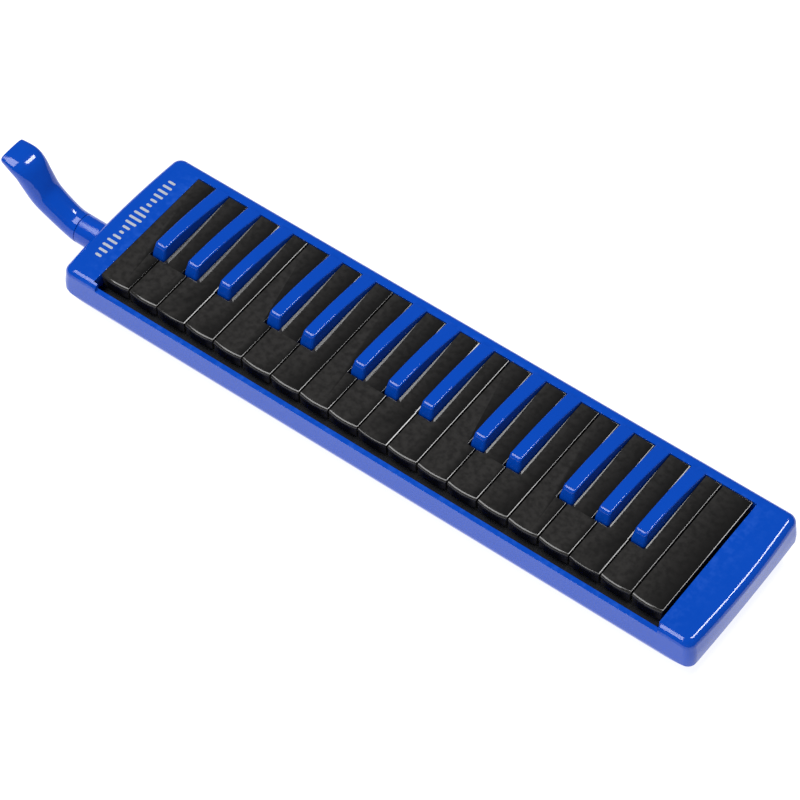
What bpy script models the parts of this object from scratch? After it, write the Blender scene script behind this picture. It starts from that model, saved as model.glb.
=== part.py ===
"""Melodica with 32 keys, F3 to C6, in metres.

+X runs from the low notes to the high notes, +Y from the player's edge to the rear edge and +Z up.
The origin is the middle of the whole outline, mouthpiece included, at the height of the flat underside.
"""

import math

import bpy
import bmesh

MM = 0.001
GAP = 0.3 * MM

# Case
CASE_LENGTH = 429.2 * MM
CASE_DEPTH = 105.4 * MM
CASE_WIDEST_Z = 20 * MM
# The ends bow outwards, least at the widest line
TOP_BULGE = 2.2 * MM
TOP_CORNER_RADIUS = 5.5 * MM
WIDEST_BULGE = 0.7 * MM
WIDEST_CORNER_RADIUS = 5.5 * MM
UNDERSIDE_BULGE = 5 * MM
UNDERSIDE_CORNER_RADIUS = 30 * MM
COVER_TOP_Z = 32.7 * MM
COVER_EDGE_RADIUS = 4.4 * MM
PARTING_Z = 14.4 * MM
UNDERSIDE_RADIUS = 12.3 * MM
LOWER_END_LEAN = 5 * MM
LOWER_SIDE_BOW = 3 * MM
PARTING_STEP = 0.6 * MM
WALL = 2.2 * MM
MOUTHPIECE_REACH = 64.6 * MM
CASE_LEFT = (MOUTHPIECE_REACH - CASE_LENGTH) / 2
CASE_CENTRE_X = CASE_LEFT + CASE_LENGTH / 2
CASE_FRONT = -CASE_DEPTH / 2

# Keyboard
NATURAL_COUNT = 19
KEY_PITCH = 20 * MM
KEY_GAP = 1 * MM
KEY_LENGTH = 87.3 * MM
KEY_PLATE = 2.4 * MM
KEY_LIP_DEPTH = 7.8 * MM
KEY_LIP_THICKNESS = 2.6 * MM
KEY_FRONT_BOW = 1 * MM
KEY_TOP_Z = 33 * MM
KEYBOARD_LEFT = CASE_LEFT + 22.8 * MM
KEYBOARD_RIGHT = KEYBOARD_LEFT + NATURAL_COUNT * KEY_PITCH
KEY_FRONT_Y = CASE_FRONT + 9.7 * MM
KEY_REAR_Y = KEY_FRONT_Y + KEY_LENGTH
SHARP_WIDTH = 9.4 * MM
SHARP_TOP_WIDTH = 7.5 * MM
SHARP_HEIGHT = 7.4 * MM
SHARP_END_HEIGHT = 1.1 * MM
SHARP_FRONT_Y = KEY_FRONT_Y + 28.4 * MM
NOTCH_SIDE_GAP = 0.5 * MM
NOTCH_FRONT_GAP = 0.8 * MM
# How far each sharp sits to the right of the seam that it straddles
SHARP_SHIFT = {"F": -2 * MM, "G": 1.2 * MM, "A": 4.4 * MM, "C": -0.4 * MM, "D": 2.9 * MM}
LETTERS = "FGABCDE"

# Key well in the top cover
WELL_LEFT = KEYBOARD_LEFT + 0.1 * MM
WELL_RIGHT = KEYBOARD_RIGHT + 1.6 * MM
WELL_FRONT = KEY_FRONT_Y - 6.5 * MM
WELL_REAR = KEY_FRONT_Y + 88 * MM
WELL_SKIRT = 9 * MM
RAIL_TOP_Z = 28.7 * MM
RAIL_LEFT = KEYBOARD_LEFT + 2.9 * MM
RAIL_RIGHT = KEYBOARD_RIGHT + 3.1 * MM

# Axle and levers
AXLE_Y = KEY_FRONT_Y + 62 * MM
AXLE_Z = KEY_TOP_Z - 7 * MM
AXLE_RADIUS = 1.25 * MM
LEVER_WIDTH = 5 * MM
LEVER_DEPTH = 4.4 * MM
LUG_HALF = 4.5 * MM
LUG_DEPTH = 2.5 * MM
PAD_FRONT = 13.4 * MM
PAD_REAR = 23.6 * MM
PAD_BOTTOM = -3.7 * MM

# Key bed, reeds and air chamber, from the deck down
DECK_TOP_Z = 22 * MM
BED_TOP_Z = 19 * MM
BED_BOTTOM_Z = 16.5 * MM
BED_LEFT = KEYBOARD_LEFT + 0.9 * MM
BED_RIGHT = KEYBOARD_RIGHT - 0.9 * MM
BED_FRONT = KEY_FRONT_Y - 3 * MM
BED_REAR = KEY_FRONT_Y + 90 * MM
CELL_FRONT = KEY_FRONT_Y + 44 * MM
CELL_REAR = KEY_FRONT_Y + 88 * MM
CELL_THICKNESS = 2 * MM
CELL_LEFT = BED_LEFT + 2.1 * MM
CELL_RIGHT = BED_RIGHT - 2.1 * MM
REED_TIP_Y = KEY_FRONT_Y + 80 * MM
REED_PLATE = 1 * MM
LONGEST_REED = 30 * MM
SHORTEST_REED = 14 * MM
TRAY_WALL = 1.8 * MM
TRAY_FLOOR = 1.4 * MM
TRAY_BOTTOM_Z = 7 * MM
TRAY_FRONT = KEY_FRONT_Y + 15 * MM
CHAMBER_GASKET = 0.8 * MM
TRAY_TOP_Z = BED_BOTTOM_Z - 2 * GAP - CHAMBER_GASKET

# Blow socket and mouthpiece
BLOW_Y = KEY_FRONT_Y + 28 * MM
BLOW_Z = KEY_TOP_Z - 13.9 * MM
SOCKET_RADIUS = 9.15 * MM
SOCKET_BORE = 7.4 * MM
SOCKET_MOUTH_X = CASE_LEFT - 14.2 * MM
SOCKET_INNER_X = KEYBOARD_LEFT - 6.3 * MM
SOCKET_FLANGE_RADIUS = 10.8 * MM
PLUG_RADIUS = 5.6 * MM
PLUG_BORE = 4.1 * MM
PLUG_LENGTH = 12 * MM

# Water key
DRAIN_X = KEYBOARD_LEFT + 352 * MM
DRAIN_Y = KEY_FRONT_Y + 26 * MM
DRAIN_CAP_RADIUS = 5.8 * MM
DRAIN_STEM_RADIUS = 1.4 * MM
DRAIN_SPRING_RADIUS = 3.1 * MM
DRAIN_WIRE = 0.5 * MM

# Hand strap
STRAP_LENGTH = 150 * MM
STRAP_WIDTH = 25 * MM
STRAP_THICKNESS = 1.3 * MM
STRAP_RECESS_DEPTH = 3.4 * MM
STRAP_ANCHOR_LENGTH = 12 * MM

# Screws
SCREW_HEAD_RADIUS = 3 * MM
SCREW_SHANK_RADIUS = 1.45 * MM
SCREW_HEAD_HEIGHT = 2 * MM
CORNER_SCREW_Z = 5 * MM
BED_SCREW_Z = 1.4 * MM
CORNER_SCREW_TOP_Z = KEY_TOP_Z - 9.2 * MM
BED_SCREW_TOP_Z = KEY_TOP_Z - 15.4 * MM
BOSS_RADIUS = 4.4 * MM
BOSS_TOP_Z = PARTING_Z - 0.3 * MM
COLUMN_RADIUS = 3.8 * MM

ROUND = 16


# Shape helpers


def clear_scene():
    for obj in list(bpy.data.objects):
        bpy.data.objects.remove(obj)


def material(name, colour, roughness, metallic=0.0):
    found = bpy.data.materials.new(name)
    found.use_nodes = True
    shader = found.node_tree.nodes["Principled BSDF"]
    shader.inputs["Base Color"].default_value = (*colour, 1)
    shader.inputs["Roughness"].default_value = roughness
    shader.inputs["Metallic"].default_value = metallic
    return found


def add_object(name, points, faces, origin=(0, 0, 0)):
    mesh = bpy.data.meshes.new(name)
    mesh.from_pydata([[p - o for p, o in zip(point, origin)] for point in points], [], faces)
    shape = bmesh.new()
    shape.from_mesh(mesh)
    bmesh.ops.recalc_face_normals(shape, faces=shape.faces)
    shape.to_mesh(mesh)
    shape.free()
    obj = bpy.data.objects.new(name, mesh)
    obj.location = origin
    bpy.context.scene.collection.objects.link(obj)
    return obj


def skin(rings, loop):
    """Points and faces of a closed skin through rings of points, capped at both ends unless it is a loop."""
    count = len(rings[0])
    points = [point for ring in rings for point in ring]
    faces = []
    for row in range(len(rings) if loop else len(rings) - 1):
        low = row * count
        high = (row + 1) % len(rings) * count
        for i in range(count):
            j = (i + 1) % count
            faces.append((low + i, low + j, high + j, high + i))
    if not loop:
        faces.append(tuple(reversed(range(count))))
        faces.append(tuple(range(len(points) - count, len(points))))
    return points, faces


def loft(name, rings, loop=False, origin=(0, 0, 0)):
    return add_object(name, *skin(rings, loop), origin)


def placed(axis, along, across, up):
    """A point from its place along an axis and its two other coordinates, in X, Y, Z order."""
    if axis == "X":
        return (along, across, up)
    if axis == "Y":
        return (across, along, up)
    return (across, up, along)


def prisms(name, axis, outlines, origin=(0, 0, 0)):
    """One mesh of separate prisms: each outline is a list of points with its low and high ends."""
    points = []
    faces = []
    for outline, low, high in outlines:
        rings = [[placed(axis, end, u, v) for u, v in outline] for end in (low, high)]
        more_points, more_faces = skin(rings, loop=False)
        faces += [tuple(i + len(points) for i in face) for face in more_faces]
        points += more_points
    return add_object(name, points, faces, origin)


def prism(name, axis, outline, low, high, origin=(0, 0, 0)):
    return prisms(name, axis, [(outline, low, high)], origin)


def rectangle(low, high):
    return [(low[0], low[1]), (high[0], low[1]), (high[0], high[1]), (low[0], high[1])]


def boxes(name, corners):
    return prisms(name, "Z", [(rectangle(low, high), low[2], high[2]) for low, high in corners])


def box(name, low, high):
    return boxes(name, [(low, high)])


def turned(name, axis, centre, profile, loop=False, sides=ROUND, origin=(0, 0, 0)):
    """A round body: the profile lists (place along the axis, radius)."""
    rings = []
    for along, radius in profile:
        angles = [2 * math.pi * i / sides for i in range(sides)]
        ring = [(centre[0] + radius * math.cos(a), centre[1] + radius * math.sin(a)) for a in angles]
        rings.append([placed(axis, along, u, v) for u, v in ring])
    obj = loft(name, rings, loop, origin)
    obj.data.shade_smooth()
    obj.data.set_sharp_from_angle(angle=math.radians(35))
    return obj


def combine(obj, tool, operation):
    step = obj.modifiers.new(tool.name, "BOOLEAN")
    step.operation = operation
    step.object = tool
    tool.hide_render = True
    tool.display_type = "WIRE"
    return obj


def cut(obj, *tools):
    for tool in tools:
        combine(obj, tool, "DIFFERENCE")


def join(obj, *tools):
    for tool in tools:
        combine(obj, tool, "UNION")


def finish(obj, look):
    obj.data.materials.clear()
    obj.data.materials.append(look)
    return obj


# Case


def mix(first, second, share):
    return first + (second - first) * share


def case_outline(z, inset, radius, bulge, depth=0.0, corner_steps=4, end_steps=6):
    """The case's outline at one height, inset from its widest line.

    The ends bow by the bulge. Below the widest line, depth goes from 0 to 1 as the ends lean in
    and the long sides tuck in towards the corners.
    """
    half_x = CASE_LENGTH / 2 - 1.17 * inset - LOWER_END_LEAN * depth
    half_y = CASE_DEPTH / 2 - inset
    ring = []
    for corner, (sign_x, sign_y) in enumerate(((1, -1), (1, 1), (-1, 1), (-1, -1))):
        centre_x = sign_x * (half_x - radius)
        centre_y = sign_y * (half_y - radius)
        for step in range(corner_steps + 1):
            angle = math.pi / 2 * (corner - 1 + step / corner_steps)
            ring.append((centre_x + radius * math.cos(angle), centre_y + radius * math.sin(angle)))
        if corner in (0, 2):
            for step in range(1, end_steps):
                share = step / end_steps
                ring.append((sign_x * half_x, centre_y * (1 - 2 * share)))
    bowed = []
    for x, y in ring:
        along = x / (CASE_LENGTH / 2)
        across = y / (CASE_DEPTH / 2)
        pull = bulge * across**2 * along
        tuck = LOWER_SIDE_BOW * depth * along**2 * across
        bowed.append((CASE_CENTRE_X + x - pull, y - tuck, z))
    return bowed


def upper_outline(z, inset):
    """An outline of the top cover, whose ends bow least at the widest line."""
    fall = (COVER_TOP_Z - COVER_EDGE_RADIUS - z) / (COVER_TOP_Z - COVER_EDGE_RADIUS - CASE_WIDEST_Z)
    spread = min(max(fall, 0.0), 1.0)
    radius = mix(TOP_CORNER_RADIUS, WIDEST_CORNER_RADIUS, spread) - 0.6 * inset
    return case_outline(z, inset, radius, mix(TOP_BULGE, WIDEST_BULGE, spread))


def lower_outline(turn, centre_z, drop, inset):
    """An outline of the bottom cover, the turn being how far round its quarter-round underside it is."""
    depth = math.sin(turn)
    radius = mix(WIDEST_CORNER_RADIUS - 0.3 * inset, UNDERSIDE_CORNER_RADIUS, depth)
    round_inset = inset + drop * (1 - math.cos(turn))
    return case_outline(
        centre_z - drop * depth, round_inset, radius, mix(WIDEST_BULGE, UNDERSIDE_BULGE, depth), depth
    )


def top_cover_rings():
    shoulder_z = COVER_TOP_Z - COVER_EDGE_RADIUS
    rings = []
    for angle in (0, 20, 40, 65, 90):
        turn = math.radians(angle)
        drop = COVER_EDGE_RADIUS * (1 - math.cos(turn))
        rings.append(upper_outline(COVER_TOP_Z - drop, COVER_EDGE_RADIUS * (1 - math.sin(turn))))
    wall_levels = ((shoulder_z + CASE_WIDEST_Z) / 2, CASE_WIDEST_Z, PARTING_Z)
    rings += [upper_outline(z, 0) for z in wall_levels]
    rings += [upper_outline(z, WALL) for z in reversed(wall_levels)]
    rings.append(upper_outline(shoulder_z, WALL))
    rings.append(upper_outline(COVER_TOP_Z - WALL, COVER_EDGE_RADIUS))
    return rings


def bottom_cover_rings():
    top_z = PARTING_Z - GAP
    rings = [upper_outline(top_z, WALL), upper_outline(top_z, PARTING_STEP)]
    for angle in (0, 22, 44, 66, 90):
        rings.append(lower_outline(math.radians(angle), UNDERSIDE_RADIUS, UNDERSIDE_RADIUS, PARTING_STEP))
    inside = []
    for angle in (90, 60, 30, 0):
        inside.append(lower_outline(math.radians(angle), UNDERSIDE_RADIUS, UNDERSIDE_RADIUS - WALL, WALL))
    return inside + rings


def corner_screws():
    left = KEYBOARD_LEFT - 8 * MM
    right = KEYBOARD_RIGHT + 11.6 * MM
    front = KEY_FRONT_Y + 10 * MM
    rear = KEY_FRONT_Y + 76 * MM
    return [(left, front), (left, rear), (right, front), (right, rear)]


def bed_screws():
    return [(KEYBOARD_LEFT + place * MM, KEY_FRONT_Y + 7 * MM) for place in (130, 250)]


def screw_places():
    """Where each screw stands, with the height of its head's underside and of its tip."""
    places = [(x, y, CORNER_SCREW_Z, CORNER_SCREW_TOP_Z) for x, y in corner_screws()]
    return places + [(x, y, BED_SCREW_Z, BED_SCREW_TOP_Z) for x, y in bed_screws()]


def make_top_cover(look):
    cover = loft("top_cover", top_cover_rings())
    under = COVER_TOP_Z - WALL
    skirt_z = COVER_TOP_Z - WELL_SKIRT
    inner_front = CASE_FRONT + WALL - 0.5 * MM
    skirts = box(
        "top_cover_skirts",
        (WELL_LEFT - WALL, inner_front, skirt_z),
        (WELL_RIGHT + WALL, WELL_REAR + WALL, under + 0.5 * MM),
    )
    join(cover, skirts)
    for index, (x, y) in enumerate(corner_screws()):
        profile = [(under + 0.5 * MM, COLUMN_RADIUS), (BOSS_TOP_Z + GAP, COLUMN_RADIUS)]
        join(cover, turned(f"top_cover_column_{index}", "Z", (x, y), profile, sides=10))
    well_floor = skirt_z - 1 * MM
    cut(
        cover,
        box("key_well_cut", (WELL_LEFT, WELL_FRONT, well_floor), (WELL_RIGHT, WELL_REAR, KEY_TOP_Z + 5 * MM)),
        box(
            "front_rail_cut",
            (RAIL_LEFT, CASE_FRONT - 5 * MM, RAIL_TOP_Z),
            (RAIL_RIGHT, WELL_FRONT + 1 * MM, KEY_TOP_Z + 5 * MM),
        ),
        socket_hole("top_cover_socket_cut"),
    )
    for index, (x, y) in enumerate(corner_screws()):
        hole = [(BOSS_TOP_Z - 1 * MM, 1.8 * MM), (KEY_TOP_Z - 8.5 * MM, 1.8 * MM)]
        cut(cover, turned(f"top_cover_screw_hole_{index}", "Z", (x, y), hole, sides=10))
    return finish(cover, look)


def socket_hole(name):
    profile = [(CASE_LEFT - 5 * MM, SOCKET_RADIUS + GAP), (CASE_LEFT + 5 * MM, SOCKET_RADIUS + GAP)]
    return turned(name, "X", (BLOW_Y, BLOW_Z), profile)


def strap_recess(name, grow, low_z, high_z):
    half_x = STRAP_LENGTH / 2 + 2 * MM + grow
    half_y = STRAP_WIDTH / 2 + 2 * MM + grow
    return box(name, (CASE_CENTRE_X - half_x, -half_y, low_z), (CASE_CENTRE_X + half_x, half_y, high_z))


def make_bottom_cover(look):
    cover = loft("bottom_cover", bottom_cover_rings())
    join(cover, strap_recess("strap_recess_roof", WALL, 1 * MM, STRAP_RECESS_DEPTH + WALL))
    for index, (x, y, head_z, _) in enumerate(screw_places()):
        foot_z = max(1 * MM, head_z - 2.2 * MM)
        profile = [(foot_z, BOSS_RADIUS), (BOSS_TOP_Z, BOSS_RADIUS)]
        join(cover, turned(f"bottom_cover_boss_{index}", "Z", (x, y), profile, sides=10))
    drain_wall = [(1 * MM, DRAIN_CAP_RADIUS + 2 * MM), (4 * MM, DRAIN_CAP_RADIUS + 2 * MM)]
    join(cover, turned("drain_collar", "Z", (DRAIN_X, DRAIN_Y), drain_wall))
    cut(cover, strap_recess("strap_recess_cut", 0, -1 * MM, STRAP_RECESS_DEPTH))
    for index, (x, y, head_z, _) in enumerate(screw_places()):
        seat = head_z + SCREW_HEAD_HEIGHT + GAP
        profile = [(-1 * MM, 3.4 * MM), (seat, 3.4 * MM), (seat, 1.8 * MM), (BOSS_TOP_Z + 1 * MM, 1.8 * MM)]
        cut(cover, turned(f"bottom_cover_screw_hole_{index}", "Z", (x, y), profile, sides=10))
    drain_hole = [(-1 * MM, DRAIN_CAP_RADIUS + 0.4 * MM), (5 * MM, DRAIN_CAP_RADIUS + 0.4 * MM)]
    cut(cover, turned("drain_hole", "Z", (DRAIN_X, DRAIN_Y), drain_hole))
    cut(cover, socket_hole("bottom_cover_socket_cut"))
    return finish(cover, look)


def make_screws(look):
    for index, (x, y, low, top) in enumerate(screw_places(), start=1):
        high = low + SCREW_HEAD_HEIGHT
        profile = [(low, SCREW_HEAD_RADIUS), (high, SCREW_HEAD_RADIUS), (high, SCREW_SHANK_RADIUS)]
        profile += [(top - 1.5 * MM, SCREW_SHANK_RADIUS), (top, 0.4 * MM)]
        finish(turned(f"case_screw_{index}", "Z", (x, y), profile, sides=10, origin=(x, y, low)), look)


# Keys


def letter(index):
    return LETTERS[index % len(LETTERS)]


def octave(index):
    return 3 + (index + 3) // len(LETTERS)


def sharp_centre(seam):
    """The middle of the sharp on the seam at a natural's right edge, or None where there is no sharp."""
    if 0 <= seam < NATURAL_COUNT - 1 and letter(seam) in SHARP_SHIFT:
        return KEYBOARD_LEFT + (seam + 1) * KEY_PITCH + SHARP_SHIFT[letter(seam)]
    return None


def natural_edges(index):
    """Left and right edges of a natural's front, then of its stem between the sharps."""
    left = KEYBOARD_LEFT + index * KEY_PITCH + KEY_GAP / 2
    right = left + KEY_PITCH - KEY_GAP
    stem_left = left
    stem_right = right
    reach = SHARP_WIDTH / 2 + NOTCH_SIDE_GAP
    if sharp_centre(index - 1) is not None:
        stem_left = max(left, sharp_centre(index - 1) + reach)
    if sharp_centre(index) is not None:
        stem_right = min(right, sharp_centre(index) - reach)
    return left, right, stem_left, stem_right


def key_layout():
    """Every key's name, kind, index and stem centre, from low to high."""
    found = []
    for index in range(NATURAL_COUNT):
        stem_left, stem_right = natural_edges(index)[2:]
        found.append((f"key_{letter(index)}{octave(index)}", "natural", index, (stem_left + stem_right) / 2))
        if sharp_centre(index) is not None:
            found.append((f"key_{letter(index)}sharp{octave(index)}", "sharp", index, sharp_centre(index)))
    return found


def front_bow(left, right, steps=4):
    """The bowed front edge of a natural, from its right corner to its left one."""
    middle = (left + right) / 2
    half = (right - left) / 2
    edge = []
    for step in range(steps + 1):
        x = right - (right - left) * step / steps
        edge.append((x, KEY_FRONT_Y - KEY_FRONT_BOW * (1 - ((x - middle) / half) ** 2)))
    return edge


def half_round(radius, bottom, upward):
    """The outline of a slot that rounds over the axle, from its open end on the left to the right."""
    side = 1 if upward else -1
    arc = [math.pi - math.pi * step / 4 for step in range(5)]
    curve = [(radius * math.cos(a), side * radius * math.sin(a)) for a in arc]
    return [(-radius, bottom), *curve, (radius, bottom)]


def lever_outline(front):
    """Side view of a key's lever about the axle: rib, axle hook, tail and valve pad."""
    top = KEY_TOP_Z - KEY_PLATE + 0.6 * MM - AXLE_Z
    rib = KEY_TOP_Z - LEVER_DEPTH - AXLE_Z
    tail_front = PAD_FRONT - 0.4 * MM
    tail_rear = PAD_REAR + 0.4 * MM
    tail_bottom = PAD_BOTTOM + 2.5 * MM
    outline = [(front, top), (front, rib), (-LUG_HALF, rib), (-LUG_HALF, -LUG_DEPTH)]
    outline += half_round(AXLE_RADIUS + GAP, -LUG_DEPTH, upward=True)
    outline += [(LUG_HALF, -LUG_DEPTH), (LUG_HALF, rib), (tail_front, rib), (tail_front, tail_bottom)]
    outline += [(PAD_FRONT, tail_bottom), (PAD_FRONT, PAD_BOTTOM)]
    outline += [(PAD_REAR, PAD_BOTTOM), (PAD_REAR, tail_bottom)]
    outline += [(tail_rear, tail_bottom), (tail_rear, top)]
    return [(AXLE_Y + y, AXLE_Z + z) for y, z in outline]


def add_lever(key, name, stem_x, front):
    half = LEVER_WIDTH / 2
    join(key, prism(f"{name}_lever", "X", lever_outline(front), stem_x - half, stem_x + half))


def make_natural(name, index, stem_x, look):
    left, right, stem_left, stem_right = natural_edges(index)
    notch_y = SHARP_FRONT_Y - NOTCH_FRONT_GAP
    outline = front_bow(left, right)
    if stem_left > left:
        outline += [(left, notch_y), (stem_left, notch_y)]
    outline += [(stem_left, KEY_REAR_Y), (stem_right, KEY_REAR_Y)]
    if stem_right < right:
        outline += [(stem_right, notch_y), (right, notch_y)]
    origin = (stem_x, AXLE_Y, AXLE_Z)
    key = prism(name, "Z", outline, KEY_TOP_Z - KEY_PLATE, KEY_TOP_Z, origin)
    inside = 0.1 * MM
    lip = front_bow(left + inside, right - inside)
    lip = [(x, y + inside) for x, y in lip]
    lip_rear = KEY_FRONT_Y + KEY_LIP_THICKNESS
    lip += [(left + inside, lip_rear), (right - inside, lip_rear)]
    join(key, prism(f"{name}_lip", "Z", lip, KEY_TOP_Z - KEY_LIP_DEPTH, KEY_TOP_Z - KEY_PLATE / 2))
    add_lever(key, name, stem_x, KEY_FRONT_Y + 1.5 * MM - AXLE_Y)
    return finish(key, look)


def sharp_side(top_steps=6):
    """Side view of a sharp above its lever: a leaning front, then a top that curves down to the cover."""
    base = KEY_TOP_Z - 3 * MM
    front = SHARP_FRONT_Y
    top = KEY_TOP_Z + SHARP_HEIGHT
    outline = [(front, base), (front + 0.2 * MM, KEY_TOP_Z), (front + 2.2 * MM, top - 1.6 * MM)]
    outline += [(front + 2.9 * MM, top - 0.6 * MM)]
    curve_start = front + 4.2 * MM
    for step in range(top_steps + 1):
        share = step / top_steps
        fall = (SHARP_HEIGHT - SHARP_END_HEIGHT) * share**2
        outline.append((mix(curve_start, KEY_REAR_Y, share), top - fall))
    return outline + [(KEY_REAR_Y, base)]


def make_sharp(name, stem_x, look):
    origin = (stem_x, AXLE_Y, AXLE_Z)
    wide = SHARP_WIDTH / 2
    key = prism(name, "X", sharp_side(), stem_x - wide - 1 * MM, stem_x + wide + 1 * MM, origin)
    narrow = SHARP_TOP_WIDTH / 2
    top = KEY_TOP_Z + SHARP_HEIGHT
    flank = [(-wide, KEY_TOP_Z - 4 * MM), (wide, KEY_TOP_Z - 4 * MM), (wide, KEY_TOP_Z)]
    flank += [(narrow + 0.2 * MM, top - 0.7 * MM), (narrow - 0.6 * MM, top + 0.1 * MM)]
    flank += [(-narrow + 0.6 * MM, top + 0.1 * MM), (-narrow - 0.2 * MM, top - 0.7 * MM), (-wide, KEY_TOP_Z)]
    flank = [(stem_x + x, z) for x, z in flank]
    tool = prism(f"{name}_flanks", "Y", flank, SHARP_FRONT_Y - 1 * MM, KEY_REAR_Y + 1 * MM)
    combine(key, tool, "INTERSECT")
    add_lever(key, name, stem_x, SHARP_FRONT_Y + 4 * MM - AXLE_Y)
    return finish(key, look)


def make_keys(natural_look, sharp_look):
    for name, kind, index, stem_x in key_layout():
        if kind == "natural":
            make_natural(name, index, stem_x, natural_look)
        else:
            make_sharp(name, stem_x, sharp_look)


# Key bed


def post_places():
    """The axle's posts: one near each end, and one between every third pair of levers."""
    stems = [stem for _, _, _, stem in key_layout()]
    places = [BED_LEFT + 1.7 * MM]
    places += [(stems[i] + stems[i + 1]) / 2 for i in range(2, len(stems) - 2, 3)]
    return places + [BED_RIGHT - 1.7 * MM]


def post_outline():
    half = 3.4 * MM
    top = 1.6 * MM
    foot = BED_TOP_Z - 1 * MM - AXLE_Z
    outline = [(-half, foot), (-half, top)]
    outline += half_round(AXLE_RADIUS + GAP, top, upward=False)
    outline += [(half, top), (half, foot)]
    return [(AXLE_Y + y, AXLE_Z + z) for y, z in outline]


def make_key_bed(look):
    bed = box("key_bed", (BED_LEFT, BED_FRONT, BED_BOTTOM_Z), (BED_RIGHT, BED_REAR, BED_TOP_Z))
    deck_front = AXLE_Y + PAD_FRONT - 2.4 * MM
    deck_rear = AXLE_Y + PAD_REAR + 2.4 * MM
    ridge = box(
        "valve_deck",
        (BED_LEFT + 1 * MM, deck_front, BED_TOP_Z - 1 * MM),
        (BED_RIGHT - 1 * MM, deck_rear, DECK_TOP_Z),
    )
    half = 1 * MM
    posts = prisms("axle_posts", "X", [(post_outline(), x - half, x + half) for x in post_places()])
    join(bed, ridge, posts)
    for index, (x, y) in enumerate(bed_screws()):
        profile = [(BOSS_TOP_Z + GAP, COLUMN_RADIUS), (BED_BOTTOM_Z + 1 * MM, COLUMN_RADIUS)]
        join(bed, turned(f"bed_boss_{index}", "Z", (x, y), profile, sides=10))
    slots = []
    for _, _, _, stem in key_layout():
        low = (stem - 1.6 * MM, AXLE_Y + 15.5 * MM, BED_BOTTOM_Z - 1 * MM)
        high = (stem + 1.6 * MM, AXLE_Y + 21.5 * MM, DECK_TOP_Z + 1 * MM)
        slots.append((low, high))
    cut(bed, boxes("air_slots", slots))
    for index, (x, y) in enumerate(bed_screws()):
        hole = [(BOSS_TOP_Z - 1 * MM, 1.8 * MM), (BED_TOP_Z - 0.8 * MM, 1.8 * MM)]
        cut(bed, turned(f"bed_screw_hole_{index}", "Z", (x, y), hole, sides=10))
    return finish(bed, look)


def make_key_axle(look):
    profile = [(BED_LEFT + 0.6 * MM, AXLE_RADIUS), (BED_RIGHT - 0.6 * MM, AXLE_RADIUS)]
    return finish(turned("key_axle", "X", (AXLE_Y, AXLE_Z), profile, sides=10), look)


def make_spring_comb(look):
    """A steel strip on the bed with one tongue per key, each rising to the key's axle hook."""
    thickness = 0.4 * MM
    low = BED_TOP_Z + GAP
    strip_rear = AXLE_Y - 16 * MM
    comb = box(
        "key_spring_comb",
        (BED_LEFT + 1 * MM, strip_rear - 6 * MM, low),
        (BED_RIGHT - 1 * MM, strip_rear, low + 0.6 * MM),
    )
    tip_z = AXLE_Z - LUG_DEPTH - 0.4 * MM
    path = [(strip_rear - 1 * MM, low + 0.5 * MM), (AXLE_Y - 10 * MM, low + 1.8 * MM)]
    path.append((AXLE_Y - 3 * MM, tip_z))
    outline = path + [(y, z - thickness) for y, z in reversed(path)]
    half = 1.5 * MM
    tongues = [(outline, stem - half, stem + half) for _, _, _, stem in key_layout()]
    join(comb, prisms("spring_tongues", "X", tongues))
    return finish(comb, look)


def make_front_felt(look):
    low = (BED_LEFT + 0.5 * MM, BED_FRONT + 0.8 * MM, BED_TOP_Z + GAP)
    high = (BED_RIGHT - 0.5 * MM, KEY_FRONT_Y + 5 * MM, KEY_TOP_Z - 12 * MM)
    return finish(box("key_stop_felt", low, high), look)


# Reeds and air chamber


def make_cell_gasket(look):
    top = BED_BOTTOM_Z - GAP
    low_corner = (CELL_LEFT, CELL_FRONT, top - CELL_THICKNESS)
    gasket = box("reed_cell_gasket", low_corner, (CELL_RIGHT, CELL_REAR, top))
    windows = []
    for _, _, _, stem in key_layout():
        low = (stem - 2.6 * MM, CELL_FRONT + 3 * MM, top - CELL_THICKNESS - 1 * MM)
        windows.append((low, (stem + 2.6 * MM, CELL_REAR - 2.4 * MM, top + 1 * MM)))
    cut(gasket, boxes("reed_cells", windows))
    return finish(gasket, look)


def reed_length(place):
    return LONGEST_REED + (SHORTEST_REED - LONGEST_REED) * place / 31


def make_reed_plate(name, stems, first, left, right, look):
    top = BED_BOTTOM_Z - 2 * GAP - CELL_THICKNESS
    bottom = top - REED_PLATE
    plate = box(name, (left, CELL_FRONT, bottom), (right, CELL_REAR, top))
    slots = []
    reeds = []
    for place, stem in enumerate(stems, start=first):
        root = REED_TIP_Y - reed_length(place)
        slots.append(((stem - 1.2 * MM, root, bottom - 1 * MM), (stem + 1.2 * MM, REED_TIP_Y, top + 1 * MM)))
        foot_front = root - 3 * MM
        foot_rear = root - 1 * MM
        foot_top = bottom + 0.4 * MM
        tip = REED_TIP_Y - 0.4 * MM
        blade_top = bottom - GAP
        blade_low = blade_top - 0.25 * MM
        foot_low = blade_low - 0.4 * MM
        outline = [(foot_front, foot_top), (foot_front, foot_low), (foot_rear, foot_low)]
        outline.append((foot_rear, blade_low))
        outline += [(tip, blade_low), (tip, blade_top), (foot_rear, blade_top), (foot_rear, foot_top)]
        reeds.append((outline, stem - 0.9 * MM, stem + 0.9 * MM))
    cut(plate, boxes(f"{name}_slots", slots))
    join(plate, prisms(f"{name}_reeds", "X", reeds))
    return finish(plate, look)


def make_reed_plates(look):
    stems = [stem for _, _, _, stem in key_layout()]
    half = len(stems) // 2
    split = (stems[half - 1] + stems[half]) / 2
    make_reed_plate("reed_plate_low", stems[:half], 0, CELL_LEFT, split - GAP / 2, look)
    make_reed_plate("reed_plate_high", stems[half:], half, split + GAP / 2, CELL_RIGHT, look)


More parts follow.
